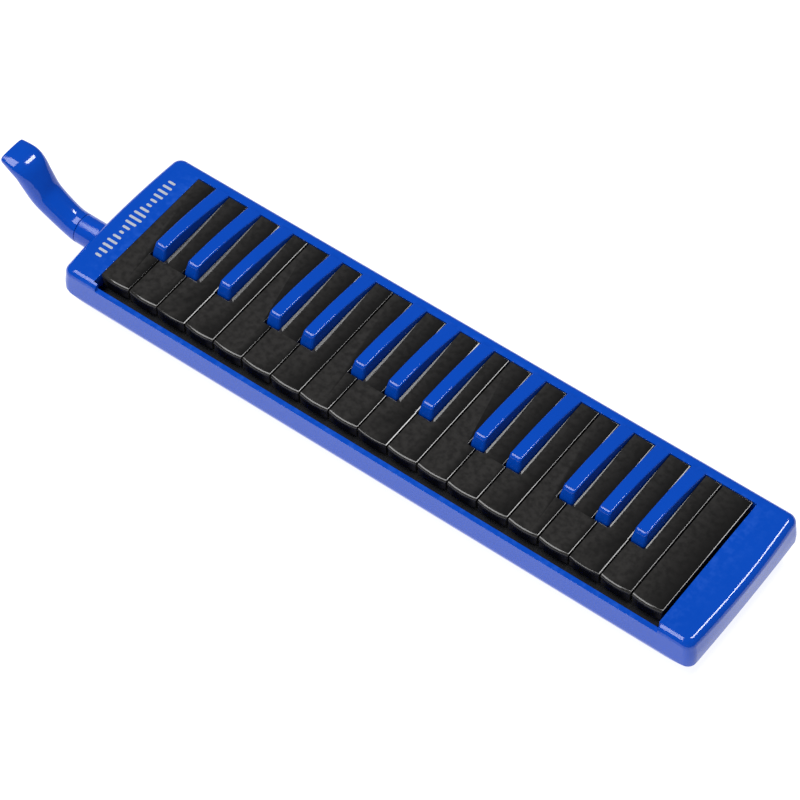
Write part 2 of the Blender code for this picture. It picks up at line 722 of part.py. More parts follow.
def make_chamber_gasket(look):
    top = BED_BOTTOM_Z - GAP
    gasket = box("chamber_gasket", (BED_LEFT, TRAY_FRONT, top - CHAMBER_GASKET), (BED_RIGHT, BED_REAR, top))
    width = TRAY_WALL
    inner = box(
        "chamber_gasket_window",
        (BED_LEFT + width, TRAY_FRONT + width, top - CHAMBER_GASKET - 1 * MM),
        (BED_RIGHT - width, BED_REAR - width, top + 1 * MM),
    )
    cut(gasket, inner)
    return finish(gasket, look)


def make_air_tray(look):
    tray = box("air_chamber_tray", (BED_LEFT, TRAY_FRONT, TRAY_BOTTOM_Z), (BED_RIGHT, BED_REAR, TRAY_TOP_Z))
    inner = box(
        "air_chamber",
        (BED_LEFT + TRAY_WALL, TRAY_FRONT + TRAY_WALL, TRAY_BOTTOM_Z + TRAY_FLOOR),
        (BED_RIGHT - TRAY_WALL, BED_REAR - TRAY_WALL, TRAY_TOP_Z + 1 * MM),
    )
    port = box(
        "air_chamber_port",
        (BED_LEFT - 1 * MM, BLOW_Y - 6 * MM, TRAY_BOTTOM_Z + 1.9 * MM),
        (BED_LEFT + 3 * MM, BLOW_Y + 6 * MM, TRAY_TOP_Z - 1.4 * MM),
    )
    drain = [(TRAY_BOTTOM_Z - 1 * MM, 2.2 * MM), (TRAY_BOTTOM_Z + 3 * MM, 2.2 * MM)]
    cut(tray, inner, port, turned("tray_drain_hole", "Z", (DRAIN_X, DRAIN_Y), drain, sides=10))
    return finish(tray, look)


# Wind way


def make_wind_elbow(look):
    """Turns the air from the socket down and to the right, into the air chamber tray."""
    left = SOCKET_INNER_X + GAP
    upper_right = WELL_LEFT - WALL - GAP
    lower_right = BED_LEFT - GAP
    half = 10.8 * MM
    low_top = TRAY_TOP_Z - 0.4 * MM
    upper_corner = (upper_right, BLOW_Y + half, BLOW_Z + 9.4 * MM)
    elbow = box("wind_elbow", (left, BLOW_Y - half, TRAY_BOTTOM_Z), upper_corner)
    foot = box(
        "wind_elbow_foot",
        (left + 1 * MM, BLOW_Y - half + 0.1 * MM, TRAY_BOTTOM_Z + 0.1 * MM),
        (lower_right, BLOW_Y + half - 0.1 * MM, low_top),
    )
    join(elbow, foot)
    bore = [(left - 1 * MM, 6.4 * MM), (upper_right - 1.3 * MM, 6.4 * MM)]
    port = box(
        "wind_elbow_port",
        (left + 1.3 * MM, BLOW_Y - 5.8 * MM, TRAY_BOTTOM_Z + 2 * MM),
        (lower_right + 1 * MM, BLOW_Y + 5.8 * MM, low_top - 1.2 * MM),
    )
    cut(elbow, turned("wind_elbow_bore", "X", (BLOW_Y, BLOW_Z), bore), port)
    return finish(elbow, look)


def make_blow_socket(look):
    wall_x = CASE_LEFT + WALL + 5.2 * MM
    flange_x = wall_x + 2 * MM
    profile = [(SOCKET_MOUTH_X, SOCKET_RADIUS - 0.4 * MM), (SOCKET_MOUTH_X + 0.4 * MM, SOCKET_RADIUS)]
    profile += [(wall_x, SOCKET_RADIUS), (wall_x, SOCKET_FLANGE_RADIUS), (flange_x, SOCKET_FLANGE_RADIUS)]
    profile += [(flange_x, SOCKET_RADIUS), (SOCKET_INNER_X, SOCKET_RADIUS), (SOCKET_INNER_X, 6.4 * MM)]
    profile += [(wall_x, 6.4 * MM), (wall_x, SOCKET_BORE), (SOCKET_MOUTH_X, SOCKET_BORE)]
    return finish(turned("blow_socket", "X", (BLOW_Y, BLOW_Z), profile, loop=True, sides=24), look)


def make_mouthpiece_seal(look):
    start = SOCKET_MOUTH_X + 5 * MM
    inner = PLUG_RADIUS + GAP
    outer = SOCKET_BORE - GAP
    profile = [(start, inner), (start, outer), (start + 2.4 * MM, outer), (start + 2.4 * MM, inner)]
    origin = (start, BLOW_Y, BLOW_Z)
    seal = turned("mouthpiece_seal", "X", (BLOW_Y, BLOW_Z), profile, loop=True, sides=20, origin=origin)
    return finish(seal, look)


# The neck's stations, from the socket to the tip: place along the neck's plane from the socket's mouth,
# then half its width and half its height, all in millimetres
NECK = (
    (0.0, 0.0, 9.15, 9.15),
    (-2.0, 0.1, 9.1, 9.1),
    (-8.5, 1.9, 8.8, 8.7),
    (-17.4, 6.4, 9.0, 8.5),
    (-26.3, 12.4, 9.5, 8.2),
    (-32.4, 20.9, 10.1, 7.8),
    (-36.7, 27.7, 10.7, 6.5),
    (-41.6, 31.2, 10.9, 4.6),
    (-50.1, 33.4, 9.5, 2.6),
)


def neck_ring(along, up, turn, half_width, half_height, sides=20):
    """One section of the neck, square to its centre line, which leans by turn from -X towards +Z."""
    ring = []
    flat = max(0.0, 1 - half_height / half_width)
    power = 2 / (2 + 1.6 * flat)
    for i in range(sides):
        angle = 2 * math.pi * i / sides
        wide = half_width * math.copysign(abs(math.cos(angle)) ** power, math.cos(angle))
        high = half_height * math.copysign(abs(math.sin(angle)) ** power, math.sin(angle))
        x = SOCKET_MOUTH_X - GAP + along * MM + high * MM * math.sin(turn)
        z = BLOW_Z + up * MM + high * MM * math.cos(turn)
        ring.append((x, BLOW_Y + wide * MM, z))
    return ring


def neck_rings(shrink):
    """The neck's sections, each side drawn in by the given thickness in millimetres."""
    rings = []
    for place, (along, up, half_width, half_height) in enumerate(NECK):
        before = NECK[max(place - 1, 0)]
        after = NECK[min(place + 1, len(NECK) - 1)]
        turn = math.atan2(after[1] - before[1], before[0] - after[0])
        if place < 2 or after is NECK[place]:
            turn = 0.0
        wide = half_width - shrink
        high = half_height - min(shrink, half_height * 0.45)
        rings.append(neck_ring(along, up, turn, wide, high))
    return rings


def round_ring(x, radius, sides=20):
    angles = [2 * math.pi * i / sides for i in range(sides)]
    return [(x, BLOW_Y + radius * math.cos(a), BLOW_Z + radius * math.sin(a)) for a in angles]


def make_mouthpiece(look):
    plug_x = SOCKET_MOUTH_X + PLUG_LENGTH
    shoulder = SOCKET_MOUTH_X - GAP
    outside = [round_ring(plug_x, PLUG_RADIUS), round_ring(shoulder, PLUG_RADIUS)] + neck_rings(0.0)
    bore = neck_rings(2.0)[:1:-1]
    inside = bore + [round_ring(shoulder, PLUG_BORE + 0.6 * MM), round_ring(plug_x, PLUG_BORE)]
    piece = loft("mouthpiece", outside + inside, loop=True, origin=(shoulder, BLOW_Y, BLOW_Z))
    piece.data.shade_smooth()
    piece.data.set_sharp_from_angle(angle=math.radians(40))
    return finish(piece, look)


# Water key


def make_drain(button_look, seal_look, spring_look):
    centre = (DRAIN_X, DRAIN_Y)
    cap_low = 0.6 * MM
    cap_high = 2.4 * MM
    floor_top = TRAY_BOTTOM_Z + TRAY_FLOOR
    seal_low = floor_top + GAP
    seal_high = seal_low + 1.4 * MM
    head_low = seal_high + GAP
    origin = (*centre, cap_low)
    profile = [(cap_low, DRAIN_CAP_RADIUS), (cap_high, DRAIN_CAP_RADIUS), (cap_high, DRAIN_STEM_RADIUS)]
    profile += [(head_low, DRAIN_STEM_RADIUS), (head_low, 2.6 * MM), (head_low + 0.7 * MM, 2.6 * MM)]
    finish(turned("drain_button", "Z", centre, profile, sides=20, origin=origin), button_look)
    ring = [(seal_low, 1.7 * MM), (seal_low, 4.2 * MM), (seal_high, 4.2 * MM), (seal_high, 1.7 * MM)]
    finish(turned("drain_seal", "Z", centre, ring, loop=True, origin=(*centre, seal_low)), seal_look)
    finish(drain_spring(cap_high + GAP, TRAY_BOTTOM_Z - GAP), spring_look)


def drain_spring(low, high, turns=4, steps=12, sides=4):
    """A coil of round wire, a ring of points at each step along its helix."""
    wire = DRAIN_WIRE / 2
    rings = []
    for step in range(turns * steps + 1):
        angle = 2 * math.pi * step / steps
        share = step / (turns * steps)
        z = low + wire + (high - low - DRAIN_WIRE) * share
        ring = []
        for side in range(sides):
            around = 2 * math.pi * side / sides
            radius = DRAIN_SPRING_RADIUS + wire * math.cos(around)
            x = DRAIN_X + radius * math.cos(angle)
            y = DRAIN_Y + radius * math.sin(angle)
            ring.append((x, y, z + wire * math.sin(around)))
        rings.append(ring)
    return loft("drain_spring", rings)


# Hand strap


def make_strap(strap_look, anchor_look):
    half = STRAP_LENGTH / 2
    wide = STRAP_WIDTH / 2
    top = STRAP_RECESS_DEPTH - GAP
    low = top - STRAP_THICKNESS
    strap = box("hand_strap", (CASE_CENTRE_X - half, -wide, low), (CASE_CENTRE_X + half, wide, top))
    finish(strap, strap_look)
    for name, side in (("strap_anchor_left", -1), ("strap_anchor_right", 1)):
        outer = CASE_CENTRE_X + side * half
        inner = CASE_CENTRE_X + side * (half - STRAP_ANCHOR_LENGTH)
        anchor = box(
            name,
            (min(outer, inner), -wide - 1 * MM, 0.3 * MM),
            (max(outer, inner), wide + 1 * MM, low - GAP),
        )
        finish(anchor, anchor_look)


def main():
    clear_scene()
    blue = material("blue_plastic", (0.002, 0.075, 0.53), 0.18)
    black = material("black_plastic", (0.02, 0.018, 0.017), 0.4)
    bed_black = material("bed_plastic", (0.03, 0.03, 0.032), 0.6)
    steel = material("steel", (0.55, 0.56, 0.58), 0.3, 1.0)
    brass = material("brass", (0.78, 0.57, 0.25), 0.3, 1.0)
    felt = material("felt", (0.02, 0.02, 0.023), 0.95)
    rubber = material("rubber", (0.02, 0.02, 0.02), 0.8)
    strap = material("strap_webbing", (0.02, 0.02, 0.022), 0.9)
    make_top_cover(blue)
    make_bottom_cover(blue)
    make_screws(steel)
    make_keys(black, blue)
    make_key_bed(bed_black)
    make_key_axle(steel)
    make_spring_comb(steel)
    make_front_felt(felt)
    make_cell_gasket(rubber)
    make_reed_plates(brass)
    make_chamber_gasket(rubber)
    make_air_tray(bed_black)
    make_wind_elbow(bed_black)
    make_blow_socket(blue)
    make_mouthpiece_seal(rubber)
    make_mouthpiece(blue)
    make_drain(blue, rubber, steel)
    make_strap(strap, bed_black)


main()
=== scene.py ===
"""Looks of the 32-key melodica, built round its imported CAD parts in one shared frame, in metres."""

import math

import bmesh
import bpy
from mathutils import Matrix, Vector


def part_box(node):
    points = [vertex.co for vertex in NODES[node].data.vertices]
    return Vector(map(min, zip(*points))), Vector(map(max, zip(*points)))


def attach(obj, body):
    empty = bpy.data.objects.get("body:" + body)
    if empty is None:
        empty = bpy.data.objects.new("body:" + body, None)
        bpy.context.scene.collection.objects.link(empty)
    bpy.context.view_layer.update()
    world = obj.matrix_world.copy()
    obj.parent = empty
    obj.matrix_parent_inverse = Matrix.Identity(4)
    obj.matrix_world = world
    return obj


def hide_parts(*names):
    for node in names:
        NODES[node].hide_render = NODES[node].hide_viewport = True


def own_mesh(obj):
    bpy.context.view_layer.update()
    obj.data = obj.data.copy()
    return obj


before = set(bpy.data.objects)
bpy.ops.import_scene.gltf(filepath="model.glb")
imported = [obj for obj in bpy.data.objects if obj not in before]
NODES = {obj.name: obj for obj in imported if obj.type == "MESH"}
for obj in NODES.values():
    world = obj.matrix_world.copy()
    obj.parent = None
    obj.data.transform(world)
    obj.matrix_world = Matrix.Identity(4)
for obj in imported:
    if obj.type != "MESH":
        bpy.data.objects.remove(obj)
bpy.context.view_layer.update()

MM = 0.001
GAP = 0.3 * MM

# Places and sizes that the CAD gives
FIRST_KEY_LOW, FIRST_KEY_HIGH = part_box("key_F3")
KEYBOARD_LEFT = FIRST_KEY_LOW.x - 0.5 * MM
KEY_FRONT = FIRST_KEY_LOW.y + 1 * MM
KEY_REAR = FIRST_KEY_HIGH.y
KEY_TOP = FIRST_KEY_HIGH.z
KEYBOARD_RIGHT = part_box("key_C6")[1].x + 0.5 * MM
COVER_LOW, COVER_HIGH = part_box("top_cover")
CASE_LENGTH = COVER_HIGH.x - COVER_LOW.x
CASE_DEPTH = COVER_HIGH.y - COVER_LOW.y
CASE_CENTRE_X = (COVER_LOW.x + COVER_HIGH.x) / 2
COVER_TOP = COVER_HIGH.z
PARTING_Z = COVER_LOW.z
SOCKET_LOW, SOCKET_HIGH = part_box("blow_socket")
SOCKET_MOUTH_X = SOCKET_LOW.x
BLOW_Y = (SOCKET_LOW.y + SOCKET_HIGH.y) / 2
BLOW_Z = (SOCKET_LOW.z + SOCKET_HIGH.z) / 2

# Case
WIDEST_Z = 20 * MM
TOP_BULGE = 2.2 * MM
TOP_CORNER_RADIUS = 5.5 * MM
WIDEST_BULGE = 0.7 * MM
WIDEST_CORNER_RADIUS = 5.5 * MM
UNDERSIDE_BULGE = 5 * MM
UNDERSIDE_CORNER_RADIUS = 30 * MM
COVER_EDGE_RADIUS = 4.4 * MM
UNDERSIDE_RADIUS = 12.3 * MM
LOWER_END_LEAN = 5 * MM
LOWER_SIDE_BOW = 3 * MM
PARTING_STEP = 0.6 * MM
WALL = 2.2 * MM
WELL_LEFT = KEYBOARD_LEFT + 0.1 * MM
WELL_RIGHT = KEYBOARD_RIGHT + 1.6 * MM
WELL_FRONT = KEY_FRONT - 6.5 * MM
WELL_REAR = KEY_FRONT + 88 * MM
WELL_SKIRT = 9 * MM
RAIL_TOP = KEY_TOP - 4.3 * MM
RAIL_LEFT = KEYBOARD_LEFT + 2.9 * MM
RAIL_RIGHT = KEYBOARD_RIGHT + 3.1 * MM
STRAP_RECESS_DEPTH = 3.4 * MM
BOSS_TOP = PARTING_Z - 0.3 * MM
SOCKET_RADIUS = 9.15 * MM
SOCKET_HOLE_RADIUS = 9.45 * MM
SCREW_COLUMN_RADIUS = 3.8 * MM
SCREW_BOSS_RADIUS = 4.4 * MM
SCREW_HEAD_WAY_RADIUS = 3.4 * MM
SCREW_SHANK_WAY_RADIUS = 1.8 * MM
DRAIN_LOW, DRAIN_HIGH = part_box("drain_button")
DRAIN_X = (DRAIN_LOW.x + DRAIN_HIGH.x) / 2
DRAIN_Y = (DRAIN_LOW.y + DRAIN_HIGH.y) / 2
DRAIN_CAP_RADIUS = (DRAIN_HIGH.x - DRAIN_LOW.x) / 2
DRAIN_WIRE_RADIUS = 0.25 * MM
STRAP_RIB_PITCH = 1.7 * MM
STRAP_RIB_HEIGHT = 0.055 * MM
PRINTED_BARS = 17

# Keys
SHOULDER_WIDTH = 0.5 * MM
SHOULDER_TILT = math.radians(15)
SHOULDER_OVERHANG = 0.3 * MM
SHARP_FRONT = KEY_FRONT + 28.4 * MM
SHARP_WIDTH = 9.4 * MM
SHARP_HEIGHT = 7.4 * MM
SHARP_END_HEIGHT = 1.1 * MM
SHARP_SIDE_LEAN = 0.128
SHARP_FRONT_LEAN = 0.345
AXLE_LOW, AXLE_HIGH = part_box("key_axle")
AXLE_Y = (AXLE_LOW.y + AXLE_HIGH.y) / 2
AXLE_Z = (AXLE_LOW.z + AXLE_HIGH.z) / 2


# Materials


class Look:
    """A procedural material: short calls for the nodes that it is made of."""

    def __init__(self, name, roughness, **constants):
        self.material = bpy.data.materials.new(name)
        self.material.use_nodes = True
        self.tree = self.material.node_tree
        self.shader = self.tree.nodes["Principled BSDF"]
        self.shader.inputs["Roughness"].default_value = roughness
        for socket, value in constants.items():
            self.shader.inputs[socket.replace("_", " ")].default_value = value
        self.place = self.node("ShaderNodeTexCoord").outputs["Object"]

    def node(self, kind, **settings):
        made = self.tree.nodes.new(kind)
        for name, value in settings.items():
            setattr(made, name, value)
        return made

    def link(self, source, target):
        self.tree.links.new(source, target)

    def noise(self, scale, detail=4.0, stretch=(1, 1, 1), distortion=0.0):
        mapping = self.node("ShaderNodeMapping")
        mapping.inputs["Scale"].default_value = stretch
        self.link(self.place, mapping.inputs["Vector"])
        made = self.node("ShaderNodeTexNoise")
        made.inputs["Scale"].default_value = scale
        made.inputs["Detail"].default_value = detail
        made.inputs["Distortion"].default_value = distortion
        self.link(mapping.outputs["Vector"], made.inputs["Vector"])
        return made.outputs["Fac"]

    def wave(self, scale, direction):
        made = self.node("ShaderNodeTexWave", bands_direction=direction)
        made.inputs["Scale"].default_value = scale
        self.link(self.place, made.inputs["Vector"])
        return made.outputs["Fac"]

    def attribute(self, name):
        return self.node("ShaderNodeAttribute", attribute_name=name).outputs["Fac"]

    def span(self, source, low, high, from_low=0.0, from_high=1.0):
        made = self.node("ShaderNodeMapRange")
        limits = (("From Min", from_low), ("From Max", from_high), ("To Min", low), ("To Max", high))
        for name, value in limits:
            made.inputs[name].default_value = value
        self.link(source, made.inputs["Value"])
        return made.outputs["Result"]

    def maths(self, operation, first, second):
        made = self.node("ShaderNodeMath", operation=operation)
        for socket, value in zip(made.inputs, (first, second)):
            if isinstance(value, (int, float)):
                socket.default_value = value
            else:
                self.link(value, socket)
        return made.outputs["Value"]

    def blend(self, share, first, second):
        made = self.node("ShaderNodeMix", data_type="RGBA")
        colours = [socket for socket in made.inputs if socket.type == "RGBA"]
        self.link(share, made.inputs["Factor"])
        for socket, value in zip(colours, (first, second)):
            if isinstance(value, tuple):
                socket.default_value = (*value, 1)
            else:
                self.link(value, socket)
        return next(socket for socket in made.outputs if socket.type == "RGBA")

    def colour(self, source):
        self.link(source, self.shader.inputs["Base Color"])

    def roughness(self, source):
        self.link(source, self.shader.inputs["Roughness"])

    def bump(self, *layers):
        """Each layer is (height source, strength, distance); later layers sit on earlier ones."""
        normal = None
        for source, strength, distance in layers:
            made = self.node("ShaderNodeBump")
            made.inputs["Strength"].default_value = strength
            made.inputs["Distance"].default_value = distance
            self.link(source, made.inputs["Height"])
            if normal is not None:
                self.link(normal, made.inputs["Normal"])
            normal = made.outputs["Normal"]
        self.link(normal, self.shader.inputs["Normal"])


def gloss_blue():
    """Moulded gloss plastic: faint flow in the colour, orange peel, hairline scuffs and softened edges."""
    look = Look("moulded_gloss_blue", 0.1, IOR=1.5)
    flow = look.noise(9, 3, (1, 2.5, 2.5), 0.6)
    base = look.blend(flow, (0.0, 0.066, 0.50), (0.0, 0.073, 0.55))
    scuffs = look.noise(420, 6, (1, 14, 1))
    scuff_mask = look.span(scuffs, 0, 1, 0.66, 0.78)
    edge = look.maths("MULTIPLY", look.attribute("edge"), look.span(look.noise(260, 5), 0, 1, 0.45, 0.72))
    worn = look.blend(look.maths("MULTIPLY", edge, 0.35), base, (0.03, 0.15, 0.72))
    look.colour(worn)
    haze = look.span(look.noise(30, 5, (1, 1, 1), 1.2), 0.07, 0.11, 0.3, 0.75)
    rough = look.maths("ADD", haze, look.maths("MULTIPLY", scuff_mask, 0.04))
    look.roughness(look.maths("ADD", rough, look.maths("MULTIPLY", edge, 0.08)))
    look.bump((look.noise(260, 1), 0.02, 0.00003), (scuff_mask, 0.02, 0.00001))
    return look.material


def satin_black():
    """The naturals' fine-spark satin plastic, polished a little where fingers land, with a painted highlight:
    a lighter grey painted on the bevelled edges.
    """
    look = Look("satin_black_key", 0.36, IOR=1.5)
    cloud = look.noise(35, 4)
    base = look.blend(cloud, (0.0048, 0.0045, 0.0042), (0.0060, 0.0056, 0.0053))
    # Painted highlight: the bevelled edges are blended to a lighter grey, standing in for the bright lines
    # that lamps make along the keys' edges.
    edge = look.maths("MULTIPLY", look.attribute("edge"), look.span(look.noise(300, 5), 0.5, 1, 0.35, 0.6))
    look.colour(look.blend(look.maths("MULTIPLY", edge, 0.5), base, (0.06, 0.057, 0.054)))
    grain = look.noise(3200, 2)
    smear = look.noise(60, 5, (1, 0.3, 1), 1.5)
    rough = look.span(smear, 0.11, 0.16, 0.3, 0.7)
    look.roughness(look.maths("SUBTRACT", rough, look.maths("MULTIPLY", edge, 0.08)))
    look.bump((grain, 0.1, 0.00002), (look.noise(140, 3), 0.015, 0.0001))
    return look.material


def moulded_black():
    """The matt engineering plastic of the inner frame and the strap's anchors, with a spark-eroded grain."""
    look = Look("moulded_black_frame", 0.55, IOR=1.46)
    base = look.blend(look.noise(50, 4), (0.014, 0.014, 0.015), (0.024, 0.024, 0.026))
    edge = look.attribute("edge")
    look.colour(look.blend(look.maths("MULTIPLY", edge, 0.4), base, (0.06, 0.06, 0.063)))
    look.roughness(look.span(look.noise(90, 5), 0.45, 0.62, 0.3, 0.7))
    look.bump((look.noise(2400, 3), 0.35, 0.00006))
    return look.material


def brushed_metal(name, dark, light, stain, roughness, along):
    """A metal with fine brushing along one axis and faint stains."""
    look = Look(name, roughness, Metallic=1.0)
    stretch = tuple(1 if axis == along else 40 for axis in range(3))
    brushing = look.noise(55, 6, stretch)
    base = look.blend(brushing, dark, light)
    marks = look.span(look.noise(70, 5, (1, 1, 1), 0.8), 0, 0.55, 0.5, 0.8)
    look.colour(look.blend(marks, base, stain))
    look.roughness(look.span(brushing, roughness - 0.08, roughness + 0.12, 0.3, 0.7))
    look.bump((brushing, 0.12, 0.00003))
    return look.material


def soft_rubber():
    look = Look("soft_rubber", 0.72, IOR=1.5)
    look.colour(look.blend(look.noise(120, 5), (0.014, 0.014, 0.014), (0.03, 0.03, 0.029)))
    look.roughness(look.span(look.noise(200, 4), 0.62, 0.82, 0.3, 0.7))
    look.bump((look.noise(1800, 4), 0.4, 0.00008))
    return look.material


def wool_felt():
    look = Look("wool_felt", 0.95, Sheen_Weight=0.15, Sheen_Roughness=0.5)
    fibres = look.noise(2600, 8, (1, 1, 1), 2.5)
    look.colour(look.blend(fibres, (0.008, 0.008, 0.009), (0.03, 0.03, 0.032)))
    look.roughness(look.span(fibres, 0.85, 1.0))
    look.bump((fibres, 0.9, 0.0004), (look.noise(300, 4), 0.4, 0.0006))
    return look.material


def woven_webbing():
    """Nylon webbing: ribs across the strap, yarns along it, and fuzz that catches the light."""
    look = Look("woven_webbing", 0.8, Sheen_Weight=0.35, Sheen_Roughness=0.4)
    ribs = look.wave(190, "X")
    yarns = look.wave(330, "Y")
    weave = look.maths("MULTIPLY", ribs, yarns)
    fuzz = look.noise(2200, 6)
    base = look.blend(weave, (0.006, 0.006, 0.007), (0.036, 0.036, 0.039))
    look.colour(look.blend(look.maths("MULTIPLY", fuzz, 0.35), base, (0.05, 0.05, 0.052)))
    look.roughness(look.span(fuzz, 0.7, 0.95))
    look.bump((weave, 0.9, 0.0004), (fuzz, 0.3, 0.0001))
    return look.material


def thread_look():
    look = Look("stitching_thread", 0.6, Sheen_Weight=0.3)
    twist = look.noise(1500, 3, (1, 1, 3))
    look.colour(look.blend(twist, (0.05, 0.052, 0.056), (0.13, 0.133, 0.14)))
    look.roughness(look.span(twist, 0.5, 0.75))
    look.bump((twist, 0.6, 0.0001))
    return look.material


def silver_ink():
    """The pad-printed silver bars: metal flake in the ink, a little thin in places."""
    look = Look("silver_print", 0.42, Metallic=0.35)
    flake = look.noise(5200, 3)
    thin = look.span(look.noise(420, 6), 0, 1, 0.5, 0.85)
    base = look.blend(flake, (0.42, 0.47, 0.56), (0.66, 0.71, 0.78))
    look.colour(look.blend(look.maths("MULTIPLY", thin, 0.4), base, (0.22, 0.30, 0.52)))
    look.roughness(look.span(flake, 0.34, 0.52))
    look.bump((flake, 0.15, 0.00002))
    return look.material


BLUE = gloss_blue()
BLACK = satin_black()
FRAME_BLACK = moulded_black()
STEEL = brushed_metal("brushed_steel", (0.42, 0.43, 0.45), (0.62, 0.63, 0.65), (0.30, 0.29, 0.28), 0.28, 0)
BRASS = brushed_metal("rolled_brass", (0.62, 0.42, 0.16), (0.80, 0.58, 0.26), (0.38, 0.22, 0.09), 0.30, 1)
RUBBER = soft_rubber()
FELT = wool_felt()
WEBBING = woven_webbing()
THREAD = thread_look()
INK = silver_ink()


# Mesh helpers


def new_object(name, points, faces):
    mesh = bpy.data.meshes.new(name)
    mesh.from_pydata([tuple(point) for point in points], [], faces)
    shape = bmesh.new()
    shape.from_mesh(mesh)
    bmesh.ops.recalc_face_normals(shape, faces=shape.faces)
    shape.to_mesh(mesh)
    shape.free()
    obj = bpy.data.objects.new(name, mesh)
    bpy.context.scene.collection.objects.link(obj)
    return obj


def skin(rings, loop):
    count = len(rings[0])
    points = [point for ring in rings for point in ring]
    faces = []
    for row in range(len(rings) if loop else len(rings) - 1):
        low = row * count
        high = (row + 1) % len(rings) * count
        for i in range(count):
            j = (i + 1) % count
            faces.append((low + i, low + j, high + j, high + i))
    if not loop:
        faces.append(tuple(reversed(range(count))))
        faces.append(tuple(range(len(points) - count, len(points))))
    return points, faces


def loft(name, rings, loop=False):
    return new_object(name, *skin(rings, loop))


def placed(axis, along, across, up):
    return {"X": (along, across, up), "Y": (across, along, up), "Z": (across, up, along)}[axis]


def prism(name, axis, outline, low, high):
    return loft(name, [[placed(axis, end, u, v) for u, v in outline] for end in (low, high)])


def block(name, low, high):
    return prism(name, "Z", [(low[0], low[1]), (high[0], low[1]), (high[0], high[1]), (low[0], high[1])],
                 low[2], high[2])


def turned(name, axis, centre, profile, loop=False, sides=48):
    rings = []
    for along, radius in profile:
        angles = [2 * math.pi * i / sides for i in range(sides)]
        rings.append([placed(axis, along, centre[0] + radius * math.cos(a), centre[1] + radius * math.sin(a))
                      for a in angles])
    return loft(name, rings, loop)


def rounded_rectangle(centre, half_x, half_y, radius, steps=6):
    ring = []
    for corner, (sign_x, sign_y) in enumerate(((1, -1), (1, 1), (-1, 1), (-1, -1))):
        for step in range(steps + 1):
            angle = math.pi / 2 * (corner - 1 + step / steps)
            ring.append((centre[0] + sign_x * (half_x - radius) + radius * math.cos(angle),
                         centre[1] + sign_y * (half_y - radius) + radius * math.sin(angle)))
    return ring


def applied(obj):
    """Puts the result of the object's modifiers in its mesh."""
    graph = bpy.context.evaluated_depsgraph_get()
    mesh = bpy.data.meshes.new_from_object(obj.evaluated_get(graph))
    obj.modifiers.clear()
    obj.data = mesh
    return obj


def combined(obj, tools):
    """The object after each (operation, tool) Boolean; the tools are used up."""
    for operation, tool in tools:
        step = obj.modifiers.new(tool.name, "BOOLEAN")
        step.operation = operation
        step.solver = "EXACT"
        step.object = tool
    bpy.context.view_layer.update()
    applied(obj)
    for _, tool in tools:
        bpy.data.objects.remove(tool)
    return obj


def cleaned(obj, flat_angle=0.3):
    shape = bmesh.new()
    shape.from_mesh(obj.data)
    bmesh.ops.remove_doubles(shape, verts=shape.verts, dist=1e-6)
    bmesh.ops.dissolve_limit(
        shape, angle_limit=math.radians(flat_angle), verts=shape.verts, edges=shape.edges
    )
    shape.to_mesh(obj.data)
    shape.free()
    return obj


def softened(obj, width, weight_of, segments=3, sharp=28):
    """Rounds the sharp edges that weight_of gives a share of the width, and marks the new faces as edges."""
    mesh = obj.data
    shape = bmesh.new()
    shape.from_mesh(mesh)
    layer = shape.edges.layers.float.new("bevel_weight_edge")
    for edge in shape.edges:
        if len(edge.link_faces) == 2 and edge.calc_face_angle(0) > math.radians(sharp):
            ends = [vert.co for vert in edge.verts]
            edge[layer] = weight_of(ends[0], ends[1], edge)
    for face in shape.faces:
        face.material_index = 0
    shape.to_mesh(mesh)
    shape.free()
    while len(mesh.materials) < 2:
        mesh.materials.append(None)
    step = obj.modifiers.new("round", "BEVEL")
    step.limit_method = "WEIGHT"
    step.width = width
    step.segments = segments
    step.material = 1
    step.use_clamp_overlap = True
    applied(obj)
    mesh = obj.data
    values = [0.0] * len(mesh.vertices)
    for polygon in mesh.polygons:
        if polygon.material_index == 1:
            for vertex in polygon.vertices:
                values[vertex] = 1.0
            polygon.material_index = 0
    attribute = mesh.attributes.new("edge", "FLOAT", "POINT")
    attribute.data.foreach_set("value", values)
    return obj


def piece(obj, look, body, slot, *nodes, smooth=30):
    """Finishes a piece: its shading, look, body and the CAD nodes that it stands for; slot is not used."""
    mesh = obj.data
    mesh.materials.clear()
    mesh.materials.append(look)
    if smooth:
        mesh.shade_smooth()
        mesh.set_sharp_from_angle(angle=math.radians(smooth))
        normals = obj.modifiers.new("normals", "WEIGHTED_NORMAL")
        normals.keep_sharp = True
    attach(obj, body)
    if nodes:
        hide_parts(*nodes)
    return obj


# Case


def mix(first, second, share):
    return first + (second - first) * share


def case_outline(z, inset, radius, bulge, depth=0.0, corner_steps=12, end_steps=18):
    half_x = CASE_LENGTH / 2 - 1.17 * inset - LOWER_END_LEAN * depth
    half_y = CASE_DEPTH / 2 - inset
    ring = []
    for corner, (sign_x, sign_y) in enumerate(((1, -1), (1, 1), (-1, 1), (-1, -1))):
        centre_x = sign_x * (half_x - radius)
        centre_y = sign_y * (half_y - radius)
        for step in range(corner_steps + 1):
            angle = math.pi / 2 * (corner - 1 + step / corner_steps)
            ring.append((centre_x + radius * math.cos(angle), centre_y + radius * math.sin(angle)))
        if corner in (0, 2):
            for step in range(1, end_steps):
                ring.append((sign_x * half_x, centre_y * (1 - 2 * step / end_steps)))
    bowed = []
    for x, y in ring:
        along = x / (CASE_LENGTH / 2)
        across = y / (CASE_DEPTH / 2)
        pull = bulge * across**2 * along
        tuck = LOWER_SIDE_BOW * depth * along**2 * across
        bowed.append((CASE_CENTRE_X + x - pull, y - tuck, z))
    return bowed


